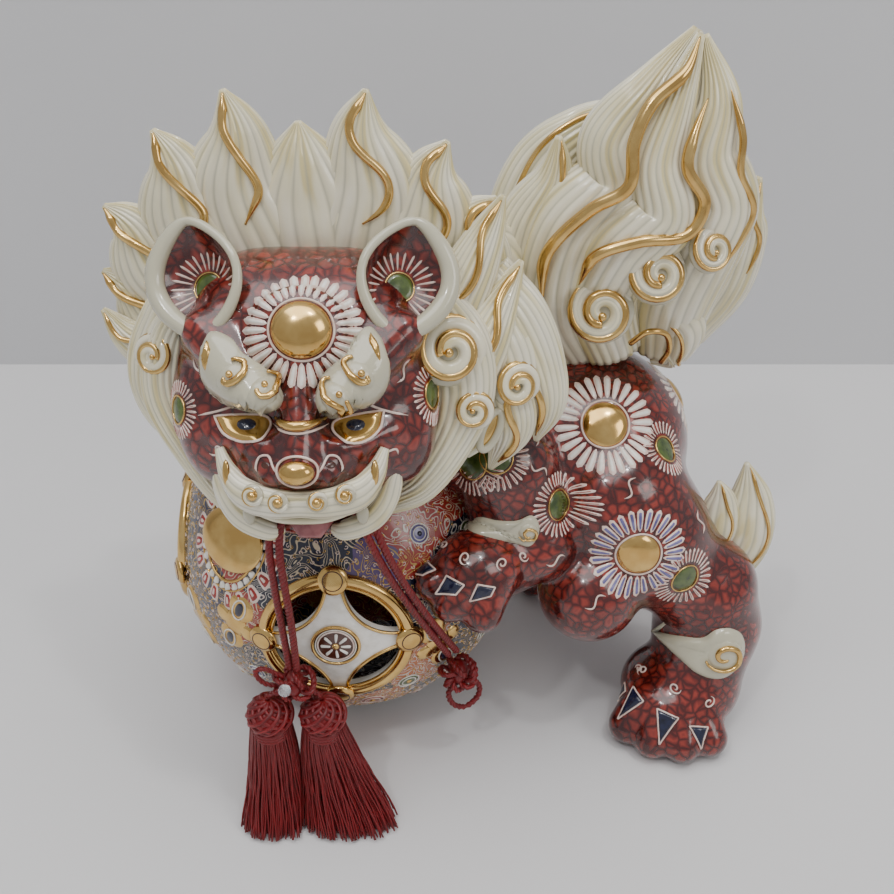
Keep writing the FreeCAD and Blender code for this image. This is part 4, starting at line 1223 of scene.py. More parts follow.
flowerPlaces = {
    "body": [
        ((113, -28, 158), (0.10, -0.78, 0.62), 22, "white"),
        ((126, -56, 108), (0.02, -0.97, 0.2), 21, "violet"),
        ((139, -21, 140), (0.5, -0.45, 0.72), 12.5, "green"),
        ((148, -49, 91), (0.42, -0.9, 0.05), 14.5, "green"),
        ((92, -43, 127), (0.6, -0.72, 0.32), 14, "green"), ((55, -44, 148), (-0.3, -0.85, 0.43), 14, "green"),
        ((66, -46, 153), (0.1, -0.8, 0.58), 14, "green"),
        # the far flank and the rump
        ((110, 52, 140), (0.1, 0.9, 0.4), 21, "violet"), ((146, 20, 140), (0.85, 0.2, 0.45), 20, "white"),
        ((74, 40, 150), (-0.1, 0.85, 0.5), 14, "green"), ((132, 62, 92), (0.7, 0.7, 0.1), 14, "green"),
    ],
    "squiggles": [
        ((121, -41, 134), (0.06, -0.73, 0.68), 5, 60), ((83, -43, 145), (0.61, -0.69, 0.4), 5, -50),
        ((91, -55, 107), (0.41, -0.89, 0.2), 4.5, 10), ((156, -36, 112), (0.7, -0.61, 0.38), 5, 80),
        ((108, -62, 90), (0.08, -0.85, 0.52), 5, 30), ((84, -40, 160), (0.3, -0.8, 0.5), 5, 80),
        ((160, 10, 120), (0.95, 0, 0.3), 5, 30), ((90, 50, 120), (0, 1, 0.1), 5, 40),
    ],
    "spirals": [
        ((44, -56, 117), (-0.3, -0.3, 0.9), 2.6, 0), ((53, -66, 118), (-0.22, -0.55, 0.8), 3.0, 90),
        ((68, -66, 115), (0.2, -0.7, 0.7), 3.0, 30), ((77, -58, 112), (0.3, -0.75, 0.57), 2.6, 120),
        ((132, -44, 34), (-0.5, -0.4, 0.75), 2.2, 0), ((136, -44, 31), (-0.5, -0.4, 0.8), 2.8, 60),
        ((149, -56, 32), (-0.3, -0.7, 0.68), 3.1, 150), ((164, -61, 28), (0.1, -0.84, 0.5), 3.1, 220),
    ],
}


def addBodyFlowers():
    for at, facing, outer, style in flowerPlaces["body"]:
        addFlower(bodyTree, lionBody, at, facing, outer, style)
    for at, facing, size, roll in flowerPlaces["squiggles"]:
        addSquiggle(bodyTree, at, facing, size, roll)
    for at, facing, size, roll in flowerPlaces["spirals"]:
        addSquiggle(bodyTree, at, facing, size, roll, "coil")


addBodyFlowers()
print("flowers laid on the body")


# The face: ears, brows, eyes, nose, lip and tongue.

faceForm = {"earCentre": (36, -61, 239.5), "earSize": (15.2, 18.6), "earDepth": 9.0}


def addEar(side):
    out = vec(side * 0.28, -0.82, 0.50)
    out /= np.linalg.norm(out)
    up = vec(side * 0.24, 0.30, 0.92)
    up -= out * (up @ out)
    up /= np.linalg.norm(up)
    right = np.cross(up, out)
    centre = vec(headForm["middle"] + side * faceForm["earCentre"][0], *faceForm["earCentre"][1:])
    wide, tall = faceForm["earSize"]
    count, rings = 56, 12
    a = np.linspace(0, 2 * math.pi, count, endpoint=False)
    y = np.sin(a)
    x = np.cos(a) * (1 - 0.42 * np.clip(y, 0, 1) ** 1.6) * (1 - 0.25 * np.clip(-y, 0, 1) ** 2)
    y = np.where(y > 0, np.abs(y) ** 0.86, y)

    def leaf(depth, grow):
        rows = [centre - out * depth]
        for i in range(1, rings + 1):
            t = i / rings
            low = depth * (1 - t ** 2.2)
            across, rise = x * t * (wide + grow), y * t * (tall + grow)
            rows.extend(centre + right * across[j] + up * rise[j] - out * low for j in range(count))
        return np.array(rows)

    fan = fanFaces(rings, count)
    inner = leaf(faceForm["earDepth"], 0)
    outer = leaf(faceForm["earDepth"] + 5.5, 1.5)
    cup = addMesh("ear_cup_" + ("left" if side < 0 else "right"), inner, fan, red)
    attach(cup, "lion")
    facePile.add(outer, fan)
    rim = centre + right * (x * (wide + 0.6))[:, None] + up * (y * (tall + 0.6))[:, None]
    lobe = 1.6 + 1.9 * np.clip(np.cos(a) * side, 0, 1) + 0.8 * np.clip(-np.sin(a), 0, 1)
    facePile.add(*closedTube(rim, lobe[:, None, None], 12))
    ground = Ground(meshTree(cup), centre - up * 3 + out * 2, out)
    addPetals(ground, cup, pinkWhite, 26, 5.8, 12.4, 1.2, 0.4)
    pileOf(green.name).add(*ground.disc(5.0, 5.0, 1.2))
    pileOf(gold.name).add(*ground.ring(5.3, 5.3, 0.35))
    return cup


facePile, faceGold = Pile(), Pile()

browForm = {
    # half of the pair: outline, curls (place, size) and the slit near the outer tip, outward positive
    "at": (19, -88, 215.5),
    "outline": [(11.0, 12.8), (7.8, 17.0), (1.5, 13.6), (-1.6, 7.6), (-7.6, 2.6), (-12.4, -4.2),
                (-12.6, -9.4), (-7.8, -13.2), (1.0, -11.2), (9.2, -5.2), (12.0, 2.0), (12.0, 7.6)],
    "rise": 4.6,
    "curls": [((1.6, 0.6), 4.2), ((-6.4, -5.6), 3.9)],
    "slit": [(8.4, 14.0), (6.9, 9.6), (8.0, 3.4), (9.8, 8.6)],
    "toViewer": (0.19, -0.84, 0.51),
}


def goldCurl(ground, at, size, lift, hand):
    # A gilded spiral furrow that ends in a gilded bead.
    t = np.linspace(0, 1, 30)
    angle = math.radians(90) + hand * t * 4.6
    radius = size * (1 - 0.72 * t)
    flat = np.stack([at[0] + radius * np.cos(angle), at[1] + radius * np.sin(angle)], 1)
    line = ground.lay(flat, lift)
    faceGold.add(*tubeShape(line, size * (0.14 + 0.16 * np.sin(t * math.pi)), 8))
    faceGold.add(*eggShape(ground.lay([at], lift + 0.5)[0], (size * 0.3,) * 3))


def addBrow(side):
    at = vec(headForm["middle"] + side * browForm["at"][0], *browForm["at"][1:])
    ground = Ground(headTree, at, browForm["toViewer"])
    leafLine, rise = mirrored(browForm["outline"], side), browForm["rise"]
    facePile.add(*ground.patch(leafLine, rise, grooves=0.28, rows=13))
    for (x, y), size in browForm["curls"]:
        facePile.add(*ground.disc(size * 1.15, size * 1.15, rise + 1.0, shift=(side * x, y), power=0.3))
        goldCurl(ground, (side * x, y), size, rise + 0.7, side)
    faceGold.add(*ground.patch(mirrored(browForm["slit"], side), rise + 0.35, rows=5, count=32))


eyeForm = {
    "at": (19.5, -89, 196.5),
    "outline": [(9.6, 4.7), (1.8, 4.5), (-7.0, 3.3), (-9.2, 0.7), (-7.6, -2.5), (-4.1, -4.8),
                (1.8, -4.6), (7.2, -1.2)],
    "rise": 1.9,
    "pupil": (4.3, 2.9),
}


def addEye(side):
    at = vec(headForm["middle"] + side * eyeForm["at"][0], *eyeForm["at"][1:])
    ground = Ground(headTree, at, browForm["toViewer"])
    almond = mirrored(eyeForm["outline"], side)
    faceGold.add(*ground.patch(almond, eyeForm["rise"], rows=7, count=48))
    pupil = ground.disc(*eyeForm["pupil"], eyeForm["rise"] + 1.3, shift=(-side * 1.0, 0), power=0.4)
    pileOf(navy.name).add(*pupil)
    pileOf(pinkWhite.name).add(*ground.edge(almond, 0.5, 0.5))


def addMouth():
    mid = headForm["middle"]
    # The lips run from the left corner to the middle and mirror back; sizes go with the upper lip.
    upper = [(-28.5, -92, 190), (-25, -97.5, 183), (-19, -102.5, 178), (-9, -106.5, 177.2)]
    upper += [(0, -107.5, 177.5)] + [(-x, y, z) for x, y, z in upper[::-1]]
    sizes = [(1.6, 1.6), (4.6, 3.4), (6.4, 4.2), (5.8, 4.0)]
    sizes += [(5.0, 3.6)] + sizes[::-1]
    path = [(mid + x, y, z) for x, y, z in upper]
    addLock(path, sizes, (0, 0, 1), pile=facePile, goldPile=faceGold, grooves=12, depth=0.3, rows=90)
    lower = [(-26, -92, 183), (-20, -100, 173), (-10, -105, 170)]
    lower += [(0, -106, 169.5)] + [(-x, y, z) for x, y, z in lower[::-1]]
    under = smoothLine([(mid + x, y, z) for x, y, z in lower], 60)
    facePile.add(*tubeShape(under, 1.5, 12))
    for side in (-1, 1):
        for x, y, z, size in ((6.5, -111.3, 181.5, 3.7), (15.5, -107.8, 181.8, 3.9)):
            addCurl((mid + side * x, y, z), (side * 0.2, -0.86, 0.45), size, side, 1.2, 0, facePile, faceGold)
            faceGold.add(*eggShape((mid + side * x, y - 1.6, z + 0.8), (1.7, 1.7, 1.7)))
        slit = eggShape((mid + side * 25.3, -100.2, 185.5), (4.6, 1.5, 1.2), (side * 0.6, -0.7, 0.3))
        faceGold.add(*slit)
        fold = [(mid + side * x, y, z) for x, y, z in ((31, -84, 181), (30, -88, 170), (24, -93, 161),
                                                       (14, -96, 157), (9, -94, 156))]
        addLock(fold, [(2, 2), (4, 3), (4.6, 3.6), (4, 3.2), (2, 2)], (0, 0.3, 1), pile=facePile,
                goldPile=faceGold, grooves=10, depth=0.25)
        facePile.add(*eggShape((mid + side * 20, -97, 165), (2.4, 2.4, 4.5), (0, 0, 1)))


def addNose():
    mid = headForm["middle"]
    ground = Ground(headTree, (mid, -107, 191), (0, -0.84, 0.54))
    faceGold.add(*eggShape((mid, -108.5, 191.5), (4.2, 6.0, 3.2), (0, -0.8, 0.6), 20, 10))
    pileOf(pinkWhite.name).add(*ground.ring(6.7, 5.0, 0.5, 0.4))
    for side in (-1, 1):
        wing = Ground(headTree, (mid, -106, 190), (side * 0.25, -0.82, 0.48))
        flat = smoothLine(mirrored([(6.4, -1.5), (8.4, 0.8), (11, 3.6), (14, 2.8), (15, -0.6),
                                    (14.4, -2.4)], side), 34)
        pileOf(pinkWhite.name).add(*wing.tube(flat, 0.45, 0.3))
        pileOf(brown.name).add(*wing.disc(1.9, 1.3, 0.4, shift=(side * 11.4, 0.4)))
    crescent = Ground(headTree, (mid, -97, 206), (0, -0.80, 0.60))
    x = np.linspace(-8.4, 8.4, 34)
    flat = np.stack([x, 0.055 * x * x - 3.2], 1)
    faceGold.add(*tubeShape(crescent.lay(flat, 0.9), 0.35 + 1.5 * (1 - (x / 8.4) ** 2), 10))
    under = np.stack([x * 1.1, 0.055 * x * x - 5.6], 1)
    pileOf(pinkWhite.name).add(*crescent.tube(under, 0.5, 0.4))


def addHeadFlowers():
    forehead = Ground(headTree, (-2.6, -80, 229.5), (0, -0.85, 0.53))
    addPetals(forehead, headBody, pinkWhite, 32, 11.2, 21.0, 4.1, 0.5, 0.95)
    addPetals(forehead, headBody, white, 32, 12.0, 20.4, 2.5, 0.7, 0.95)
    faceGold.add(*forehead.disc(10.4, 9.8, 4.0))
    pileOf(pinkWhite.name).add(*forehead.ring(10.9, 10.3, 0.45))
    addFlower(headTree, headBody, (41, -68, 197), (0.80, -0.55, 0.21), 12, "green")
    addFlower(headTree, headBody, (-48, -74, 194), (-0.77, -0.56, 0.31), 11, "green")
    mid = headForm["middle"]
    for side in (-1, 1):
        under = Ground(headTree, (mid + side * 27, -86, 206), (side * 0.35, -0.8, 0.5), side * -38)
        t = np.linspace(0, 1, 26)
        flat = np.stack([(t - 0.5) * 26, -2.5 * np.sin(t * math.pi)], 1)
        pileOf(pinkWhite.name).add(*under.tube(flat, 0.5))
        addSquiggle(headTree, (mid + side * 37, -78, 212), (side * 0.6, -0.7, 0.3), 4.5, side * 50)
        addSquiggle(headTree, (mid + side * 30, -89, 187), (side * 0.6, -0.75, 0.2), 3.5, side * -40)


def jawShape(p):
    # Chin and lower lip: a shallow bowl held off the ball.
    bowl = eggField(p, (-3, -72, 156), (30, 23, 9.5))
    bowl = smoothMax(bowl, -eggField(p, (-3, -84, 165), (22, 20, 8)), 2)
    return smoothMax(bowl, -orbField(p, lionForm["ballCentre"], 79.5), 1)


clawForm = {
    # place, facing and corners of each claw, laid over the toe ends
    "fore": [((37, -64, 110), (-0.30, -0.45, 0.84), [(-2.2, 3.5), (4.3, 1.5), (0.9, -2.8), (-3.4, -3.2)]),
             ((47, -72, 108), (-0.25, -0.72, 0.65), [(-2.2, 4.0), (5.7, 2.0), (3.0, -2.6), (-5.2, -4.2)]),
             ((60, -74, 107), (0.05, -0.85, 0.52), [(-2.0, 3.4), (5.0, 1.6), (3.2, -1.8), (-5.2, -3.6)])],
    "hind": [((127, -47, 20), (-0.62, -0.32, 0.72), [(-2.0, 4.0), (2.6, 2.0), (-0.6, -5.0)]),
             ((130, -56, 20), (-0.50, -0.50, 0.70), [(-3.0, 8.4), (4.9, 5.4), (-1.4, -8.0)]),
             ((144, -68, 19), (-0.10, -0.76, 0.64), [(-3.9, 8.2), (5.6, 5.0), (-2.2, -7.4)]),
             ((159, -70, 16), (0.20, -0.75, 0.62), [(-3.9, 5.4), (4.8, 3.2), (0.2, -5.8)])],
    "farFore": [((-16, 64, 128), (-0.5, 0.5, 0.7), [(-3.0, 3.0), (3.0, 3.0), (0.0, -4.0)]),
                ((-20, 54, 128), (-0.7, 0.3, 0.6), [(-3.0, 3.0), (3.0, 3.0), (0.0, -4.0)])],
    "farHind": [((88, 54, 14), (-0.8, -0.2, 0.55), [(-3.6, 4.0), (3.6, 4.0), (0.0, -5.0)]),
                ((88, 65, 14), (-0.8, 0.2, 0.55), [(-3.6, 4.0), (3.6, 4.0), (0.0, -5.0)])],
    "rise": 1.0,
}


def cornered(corners, per=8):
    # Straight sides between the corners, so the corners stay crisp.
    result = []
    for i, start in enumerate(corners):
        end = corners[(i + 1) % len(corners)]
        for j in range(per):
            result.append(vec(*start) + (vec(*end) - vec(*start)) * j / per)
    return result


def addClaw(at, facing, corners):
    ground = Ground(bodyTree, at, facing)
    outline = cornered(corners)
    pileOf(navy.name).add(*ground.patch(outline, clawForm["rise"], rows=6, count=48))
    pileOf(pinkWhite.name).add(*ground.edge(outline, 0.42, 0.4, 64))


for group in ("fore", "hind", "farFore", "farHind"):
    for place in clawForm[group]:
        addClaw(*place)
for side in (-1, 1):
    cup = addEar(side)
    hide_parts("ear_left" if side < 0 else "ear_right")
    addBrow(side)
    addEye(side)
addMouth()
addNose()
addHeadFlowers()
jawVerts, jawFaces = skinField(jawShape, (-40, -100, 140), (34, -42, 172), 1.4)
jaw = addMesh("jaw_bowl", jawVerts, jawFaces, red)
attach(jaw, "lion")
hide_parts("lower_jaw")
tonguePile = Pile()
tongueLock = Lock([(-3, -70, 160), (-3, -82, 161.5), (-3, -92, 160), (-3, -98, 155)],
                  [(9, 3), (10.5, 3.5), (9.5, 3.5), (4, 2)], (1, 0, 0), 26, 40, 2, 0.5, 0.0)
tonguePile.add(*tongueLock.shape())
tongue = tonguePile.build("tongue_pad", mauve, slot="pink_glaze")
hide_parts("tongue")
lips = facePile.build("brows_lips_and_ears", cream, slot="cream_glaze")
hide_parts("brow_left", "brow_right", "upper_lip")
gilt = faceGold.build("gilt_face", gold, slot="gold_lustre")
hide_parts("eye_left", "eye_right", "nose", "forehead_boss")
print("face finished")


# The openwork ball: pierced windows, rosettes, medallions, links and worm lines.

ballForm = {
    "centre": (0, 0, 75), "radius": 78, "panelRadius": 77.6, "tilt": 4,
    "turns": {"front": -90, "right": 0, "back": 90, "left": 180},
    "lensCircle": 27, "lensShift": 30, "knobDistance": 30.5,
    "medallions": [(-130, 31), (135, 31)],
    "links": [(-124, 4), (-57, -4), (-35, 10), (-146, -8), (33, 5), (56, -6), (124, 5), (147, -6)],
    "wormSpacing": 3.4, "wormSeed": 7,
    # roundels: how many places are tried, the lowest, and the cosines that keep them off the rest
    "roundelTries": 150, "roundelLowest": -62, "offWindow": 0.865, "offMedallion": 0.90, "offLink": 0.968,
}


def ballWay(turn, tilt):
    a, b = math.radians(turn), math.radians(tilt)
    return vec(math.cos(a) * math.cos(b), math.sin(a) * math.cos(b), math.sin(b))


def ballGround(turn, tilt, roll=0.0, radius=None):
    way = ballWay(turn, tilt)
    return Ground(ballTree, vec(*ballForm["centre"]) + way * (radius or ballForm["radius"]), way, roll)


def onPanel(ground, x, y, radius):
    # Points of the window panel, x and y across its axis, on a sphere about the ball's centre.
    deep = np.sqrt(radius ** 2 - x ** 2 - y ** 2)
    spot = vec(*ballForm["centre"]) + np.outer(x, ground.right) + np.outer(y, ground.up)
    return spot + np.outer(deep, ground.out)


def addWindow(side, turn):
    form = ballForm
    ground = ballGround(turn, form["tilt"], radius=form["panelRadius"])
    half = math.acos(form["lensShift"] * math.sqrt(0.5) / form["lensCircle"])
    goldPile, whitePile = pileOf(gold.name), pileOf(white.name)
    for quarter in range(4):
        diagonal = math.radians(45 + 90 * quarter)
        shift = form["lensShift"] * math.sqrt(2) * vec(math.cos(diagonal), math.sin(diagonal))
        outer = np.linspace(diagonal - half, diagonal + half, 22)
        inner = np.linspace(diagonal + math.pi - half, diagonal + math.pi + half, 22)
        r = form["lensCircle"]
        x = np.concatenate([np.cos(outer) * r, shift[0] + np.cos(inner[1:-1]) * r])
        y = np.concatenate([np.sin(outer) * r, shift[1] + np.sin(inner[1:-1]) * r])
        goldPile.add(*closedTube(onPanel(ground, x, y, form["panelRadius"] + 0.3), 0.75, 8))
    angle = np.linspace(0, 2 * math.pi, 80, endpoint=False)
    for size, radius, pile in ((27.6, 0.45, whitePile), (28.8, 0.35, goldPile)):
        line = onPanel(ground, np.cos(angle) * size, np.sin(angle) * size, form["panelRadius"] + 0.2)
        pile.add(*closedTube(line, radius, 6))
    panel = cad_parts["ball_window_" + side]
    disc = Ground(meshTree(panel), ground.at, ground.out)
    pileOf(brown.name).add(*disc.disc(9.4, 9.4, 0.9, power=0.3))
    for size, thick, finish in ((9.6, 0.75, gold), (8.3, 0.3, white), (7.4, 0.4, pinkWhite)):
        pileOf(finish.name).add(*disc.ring(size, size, thick, 0.7))
    addPetals(disc, panel, white, 8, 1.7, 6.6, 2.3, 1.5)
    pileOf(gold.name).add(*disc.disc(1.7, 1.7, 2.0))
    off = form["knobDistance"]
    for way in (90, 180, 0, 270):
        a = math.radians(way)
        spot = onPanel(ground, vec(math.cos(a) * off), vec(math.sin(a) * off), form["radius"] + 1.6)[0]
        out, right, up = facingFrame(spot - vec(*form["centre"]))
        pileOf(gold.name).add(*eggShape(spot, (6.4, 6.4, 2.3), spot - vec(*form["centre"]), 24, 10))
        rim = spot + np.outer(np.cos(angle), right) * 4.0 + np.outer(np.sin(angle), up) * 4.0
        pileOf(brown.name).add(*closedTube(rim + out * 1.7, 0.28, 6))


def addMedallion(turn, tilt):
    ground = ballGround(turn, tilt)
    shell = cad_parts["ball_shell"]
    addPetals(ground, shell, pinkWhite, 18, 17.6, 25.0, 7.8, 0.5, 1.25)
    addPetals(ground, shell, redEnamel, 18, 18.4, 24.2, 6.0, 0.75, 1.25)
    addPetals(ground, shell, pinkWhite, 18, 19.6, 22.6, 2.4, 1.0, 1.25)
    addPetals(ground, shell, white, 28, 14.6, 17.2, 3.6, 1.3, 1.28)
    pileOf(gold.name).add(*ground.ring(17.6, 22.2, 0.4))
    pileOf(gold.name).add(*ground.ring(14.0, 18.0, 0.7))


def addLink(turn, tilt, number):
    # A gilt bow of three lobes with two pointed openings.
    ground = ballGround(turn, tilt, 20 * (1 if number % 2 else -1))
    pile = pileOf(gold.name)
    for x, y, size in ((0, 0, 6.5), (0, 9.5, 6.8), (0, -9.5, 6.8), (7.0, 0, 4.2), (-7.0, 0, 4.2)):
        pile.add(*ground.disc(size, size, 1.3, 5, 26, shift=(x, y), power=0.35))
    for y in (9.5, -9.5):
        pileOf(navy.name).add(*ground.disc(2.6, 4.6, 1.55, 5, 22, shift=(0, y), power=0.25))
        pileOf(white.name).add(*ground.ring(3.1, 5.1, 0.35, 1.15, 30, (0, y)))


def addRoundels():
    # Small enamel roundels between the large ornaments, all round the ball.
    form = ballForm
    limits = [(ballWay(turn, form["tilt"]), form["offWindow"]) for turn in form["turns"].values()]
    limits += [(ballWay(*place), form["offMedallion"]) for place in form["medallions"]]
    limits += [(ballWay(*place), form["offLink"]) for place in form["links"]]
    kinds = [(orange, pinkWhite, brown), (violet, white, navy), (redEnamel, pinkWhite, gold),
             (brown, gold, orange), (green, white, gold)]
    made = 0
    for i in range(form["roundelTries"]):
        tilt = math.degrees(math.asin(1 - (i + 0.5) / (form["roundelTries"] / 2)))
        turn = math.degrees(i * 2.39996) % 360
        way = ballWay(turn, tilt)
        if tilt < form["roundelLowest"] or any(way @ axis > cosine for axis, cosine in limits):
            continue
        size = 3.0 + 2.2 * ((i * 7) % 5) / 4
        ground = ballGround(turn, tilt, i * 40)
        first, second, third = kinds[i % 5]
        pileOf(first.name).add(*ground.disc(size, size, 0.8, 4, 22, power=0.35))
        pileOf(second.name).add(*ground.ring(size, size, 0.32, 0.25, 26))
        pileOf(second.name).add(*ground.ring(size * 0.66, size * 0.66, 0.26, 0.55, 22))
        pileOf(third.name).add(*ground.disc(size * 0.36, size * 0.36, 1.3, 3, 14))
        made += 1
    print("roundels", made)


def wormTree():
    # Short curled worms of raised enamel, scattered evenly over the outside of the ball.
    maker = NodeMaker("wormLines", [("Surface", "Object"), ("Spacing", "Float"), ("Size", "Float"),
                                    ("Thickness", "Float"), ("Seed", "Int"), ("Finish", "Material")])
    add, calc, vector, given = maker.add, maker.calc, maker.vector, maker.given
    target = add("GeometryNodeObjectInfo", {"Object": given["Surface"]}).outputs["Geometry"]
    spot = add("GeometryNodeInputPosition").outputs[0]
    away = vector("SUBTRACT", spot, tuple(vec(*ballForm["centre"]) * mm))
    way = vector("NORMALIZE", away)
    room = calc("SUBTRACT", vector("LENGTH", away), (ballForm["radius"] - 1.5) * mm)
    limits = [(ballWay(turn, ballForm["tilt"]), 0.915) for turn in ballForm["turns"].values()]
    limits += [(ballWay(*place), 0.945) for place in ballForm["medallions"]]
    limits += [((0, 0, -1), 0.88)]
    for axis, cosine in limits:
        room = calc("MINIMUM", room, calc("SUBTRACT", cosine, vector("DOT_PRODUCT", way, tuple(axis))))
    allowed = calc("GREATER_THAN", room, 0.0)
    scatter = add("GeometryNodeDistributePointsOnFaces",
                  {"Mesh": target, "Selection": allowed, "Distance Min": given["Spacing"],
                   "Density Max": 400000.0, "Seed": given["Seed"]}, distribute_method="POISSON")
    coil = add("GeometryNodeCurveSpiral", {"Resolution": 9, "Rotations": 0.85,
                                           "Start Radius": calc("MULTIPLY", given["Size"], 0.25),
                                           "End Radius": given["Size"], "Height": 0.0})
    section = add("GeometryNodeCurvePrimitiveCircle", {"Resolution": 4, "Radius": given["Thickness"]})
    worm = add("GeometryNodeCurveToMesh", {"Curve": coil.outputs[0], "Profile Curve": section.outputs[0],
                                           "Fill Caps": True})
    twist = add("FunctionNodeRandomValue", {2: 0.0, 3: 2 * math.pi, "Seed": given["Seed"]}, data_type="FLOAT")
    spin = add("FunctionNodeRotateRotation", {0: scatter.outputs["Rotation"],
                                              1: maker.combine(0.0, 0.0, twist.outputs[1])})
    spin.rotation_space = "LOCAL"
    placed = add("GeometryNodeInstanceOnPoints", {"Points": scatter.outputs["Points"],
                                                  "Instance": worm.outputs[0],
                                                  "Rotation": spin.outputs[0]})
    return maker.finish(placed.outputs[0])


ballTree = meshTree(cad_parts["ball_shell"])
for side, turn in ballForm["turns"].items():
    addWindow(side, turn)
for number, (turn, tilt) in enumerate(ballForm["links"]):
    addLink(turn, tilt, number)
for turn, tilt in ballForm["medallions"]:
    addMedallion(turn, tilt)
addRoundels()
worms = wormTree()
for finish, seed, size in ((pinkWhite, ballForm["wormSeed"], 1.0), (gold, ballForm["wormSeed"] + 4, 0.9)):
    values = {"Surface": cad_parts["ball_shell"], "Spacing": ballForm["wormSpacing"] * mm,
              "Size": size * mm, "Thickness": 0.2 * mm, "Seed": seed, "Finish": finish}
    pileOf(finish.name).add(*growMesh(worms, values))
print("ball decorated")


# The doubled silk cord, its knots and the two tassels.

cordForm = {
    "radius": 1.4, "ply": 0.92, "plyShift": 0.68, "pitch": 6.2,
    "front": [(-14.5, -91.5, 81), (-14.0, -93.5, 106), (-14.6, -97.0, 131), (-15.0, -98.5, 151),
              (-13.0, -94.5, 163), (-5, -87.5, 167), (6, -87.5, 167), (14, -94.0, 162.5), (18.5, -97.5, 151),
              (25, -92.5, 129), (33, -84.0, 105), (41.5, -75.0, 81), (46.5, -68.5, 66)],
    "rear": [(-17.5, -90.5, 81), (-18.2, -92.5, 106), (-18.6, -96.2, 131), (-18.6, -98.0, 150),
             (-17.5, -93.0, 161.5), (-9.5, -84.0, 164), (10.5, -84.0, 164), (18.5, -92.5, 160.5),
             (22.4, -96.5, 150), (28.6, -91.0, 128.5), (36.4, -82.6, 104.5), (44.6, -73.6, 81.5),
             (49.8, -67.2, 67)],
}


def cordLine(name, route):
    # The cord's middle line, read from a smooth spline through its route.
    curve = bpy.data.curves.new(name, "CURVE")
    curve.dimensions = "3D"
    curve.resolution_u = 12
    spline = curve.splines.new("NURBS")
    spline.points.add(len(route) - 1)
    for point, place in zip(spline.points, route):
        point.co = (*(vec(*place) * mm), 1)
    spline.order_u = 3
    spline.use_endpoint_u = True
    holder = bpy.data.objects.new(name, curve)
    bpy.context.collection.objects.link(holder)
    line = bpy.data.meshes.new_from_object(holder.evaluated_get(bpy.context.evaluated_depsgraph_get()))
    points = np.array([tuple(v.co) for v in line.vertices]) / mm
    bpy.data.objects.remove(holder)
    return points


def evenLine(line, step):
    gaps = np.linalg.norm(np.diff(line, axis=0), axis=1)
    far = np.concatenate([[0], np.cumsum(gaps)])
    count = max(4, int(far[-1] / step))
    at = np.linspace(0, far[-1], count)
    return np.stack([np.interp(at, far, line[:, i]) for i in range(3)], 1), far[-1]


def twistedCord(pile, line, ply, shift, pitch, plies=3, around=7, step=0.75):
    even, length = evenLine(line, step)
    side, front = pathFrames(even, (1, 0.3, 0.1))[1:]
    far = np.linspace(0, length, len(even))
    for k in range(plies):
        angle = 2 * math.pi * (far / pitch + k / plies)
        path = even + side * (np.cos(angle) * shift)[:, None] + front * (np.sin(angle) * shift)[:, None]
        pile.add(*tubeShape(path, ply, around))
    return length


def knotLine(centre, size, turn=0.0, count=150):
    # A trefoil, the shape of a hand-tied knot.
    t = np.linspace(0, 2 * math.pi, count)
    flat = np.stack([np.sin(t) + 2 * np.sin(2 * t), -np.sin(3 * t) * 1.4, np.cos(t) - 2 * np.cos(2 * t)], 1)
    flat = flat / vec(3.0, 1.4, 3.0)
    c, s = math.cos(math.radians(turn)), math.sin(math.radians(turn))
    flat = flat @ np.array([[c, 0, s], [0, 1, 0], [-s, 0, c]])
    return vec(*centre) + flat * vec(*size)


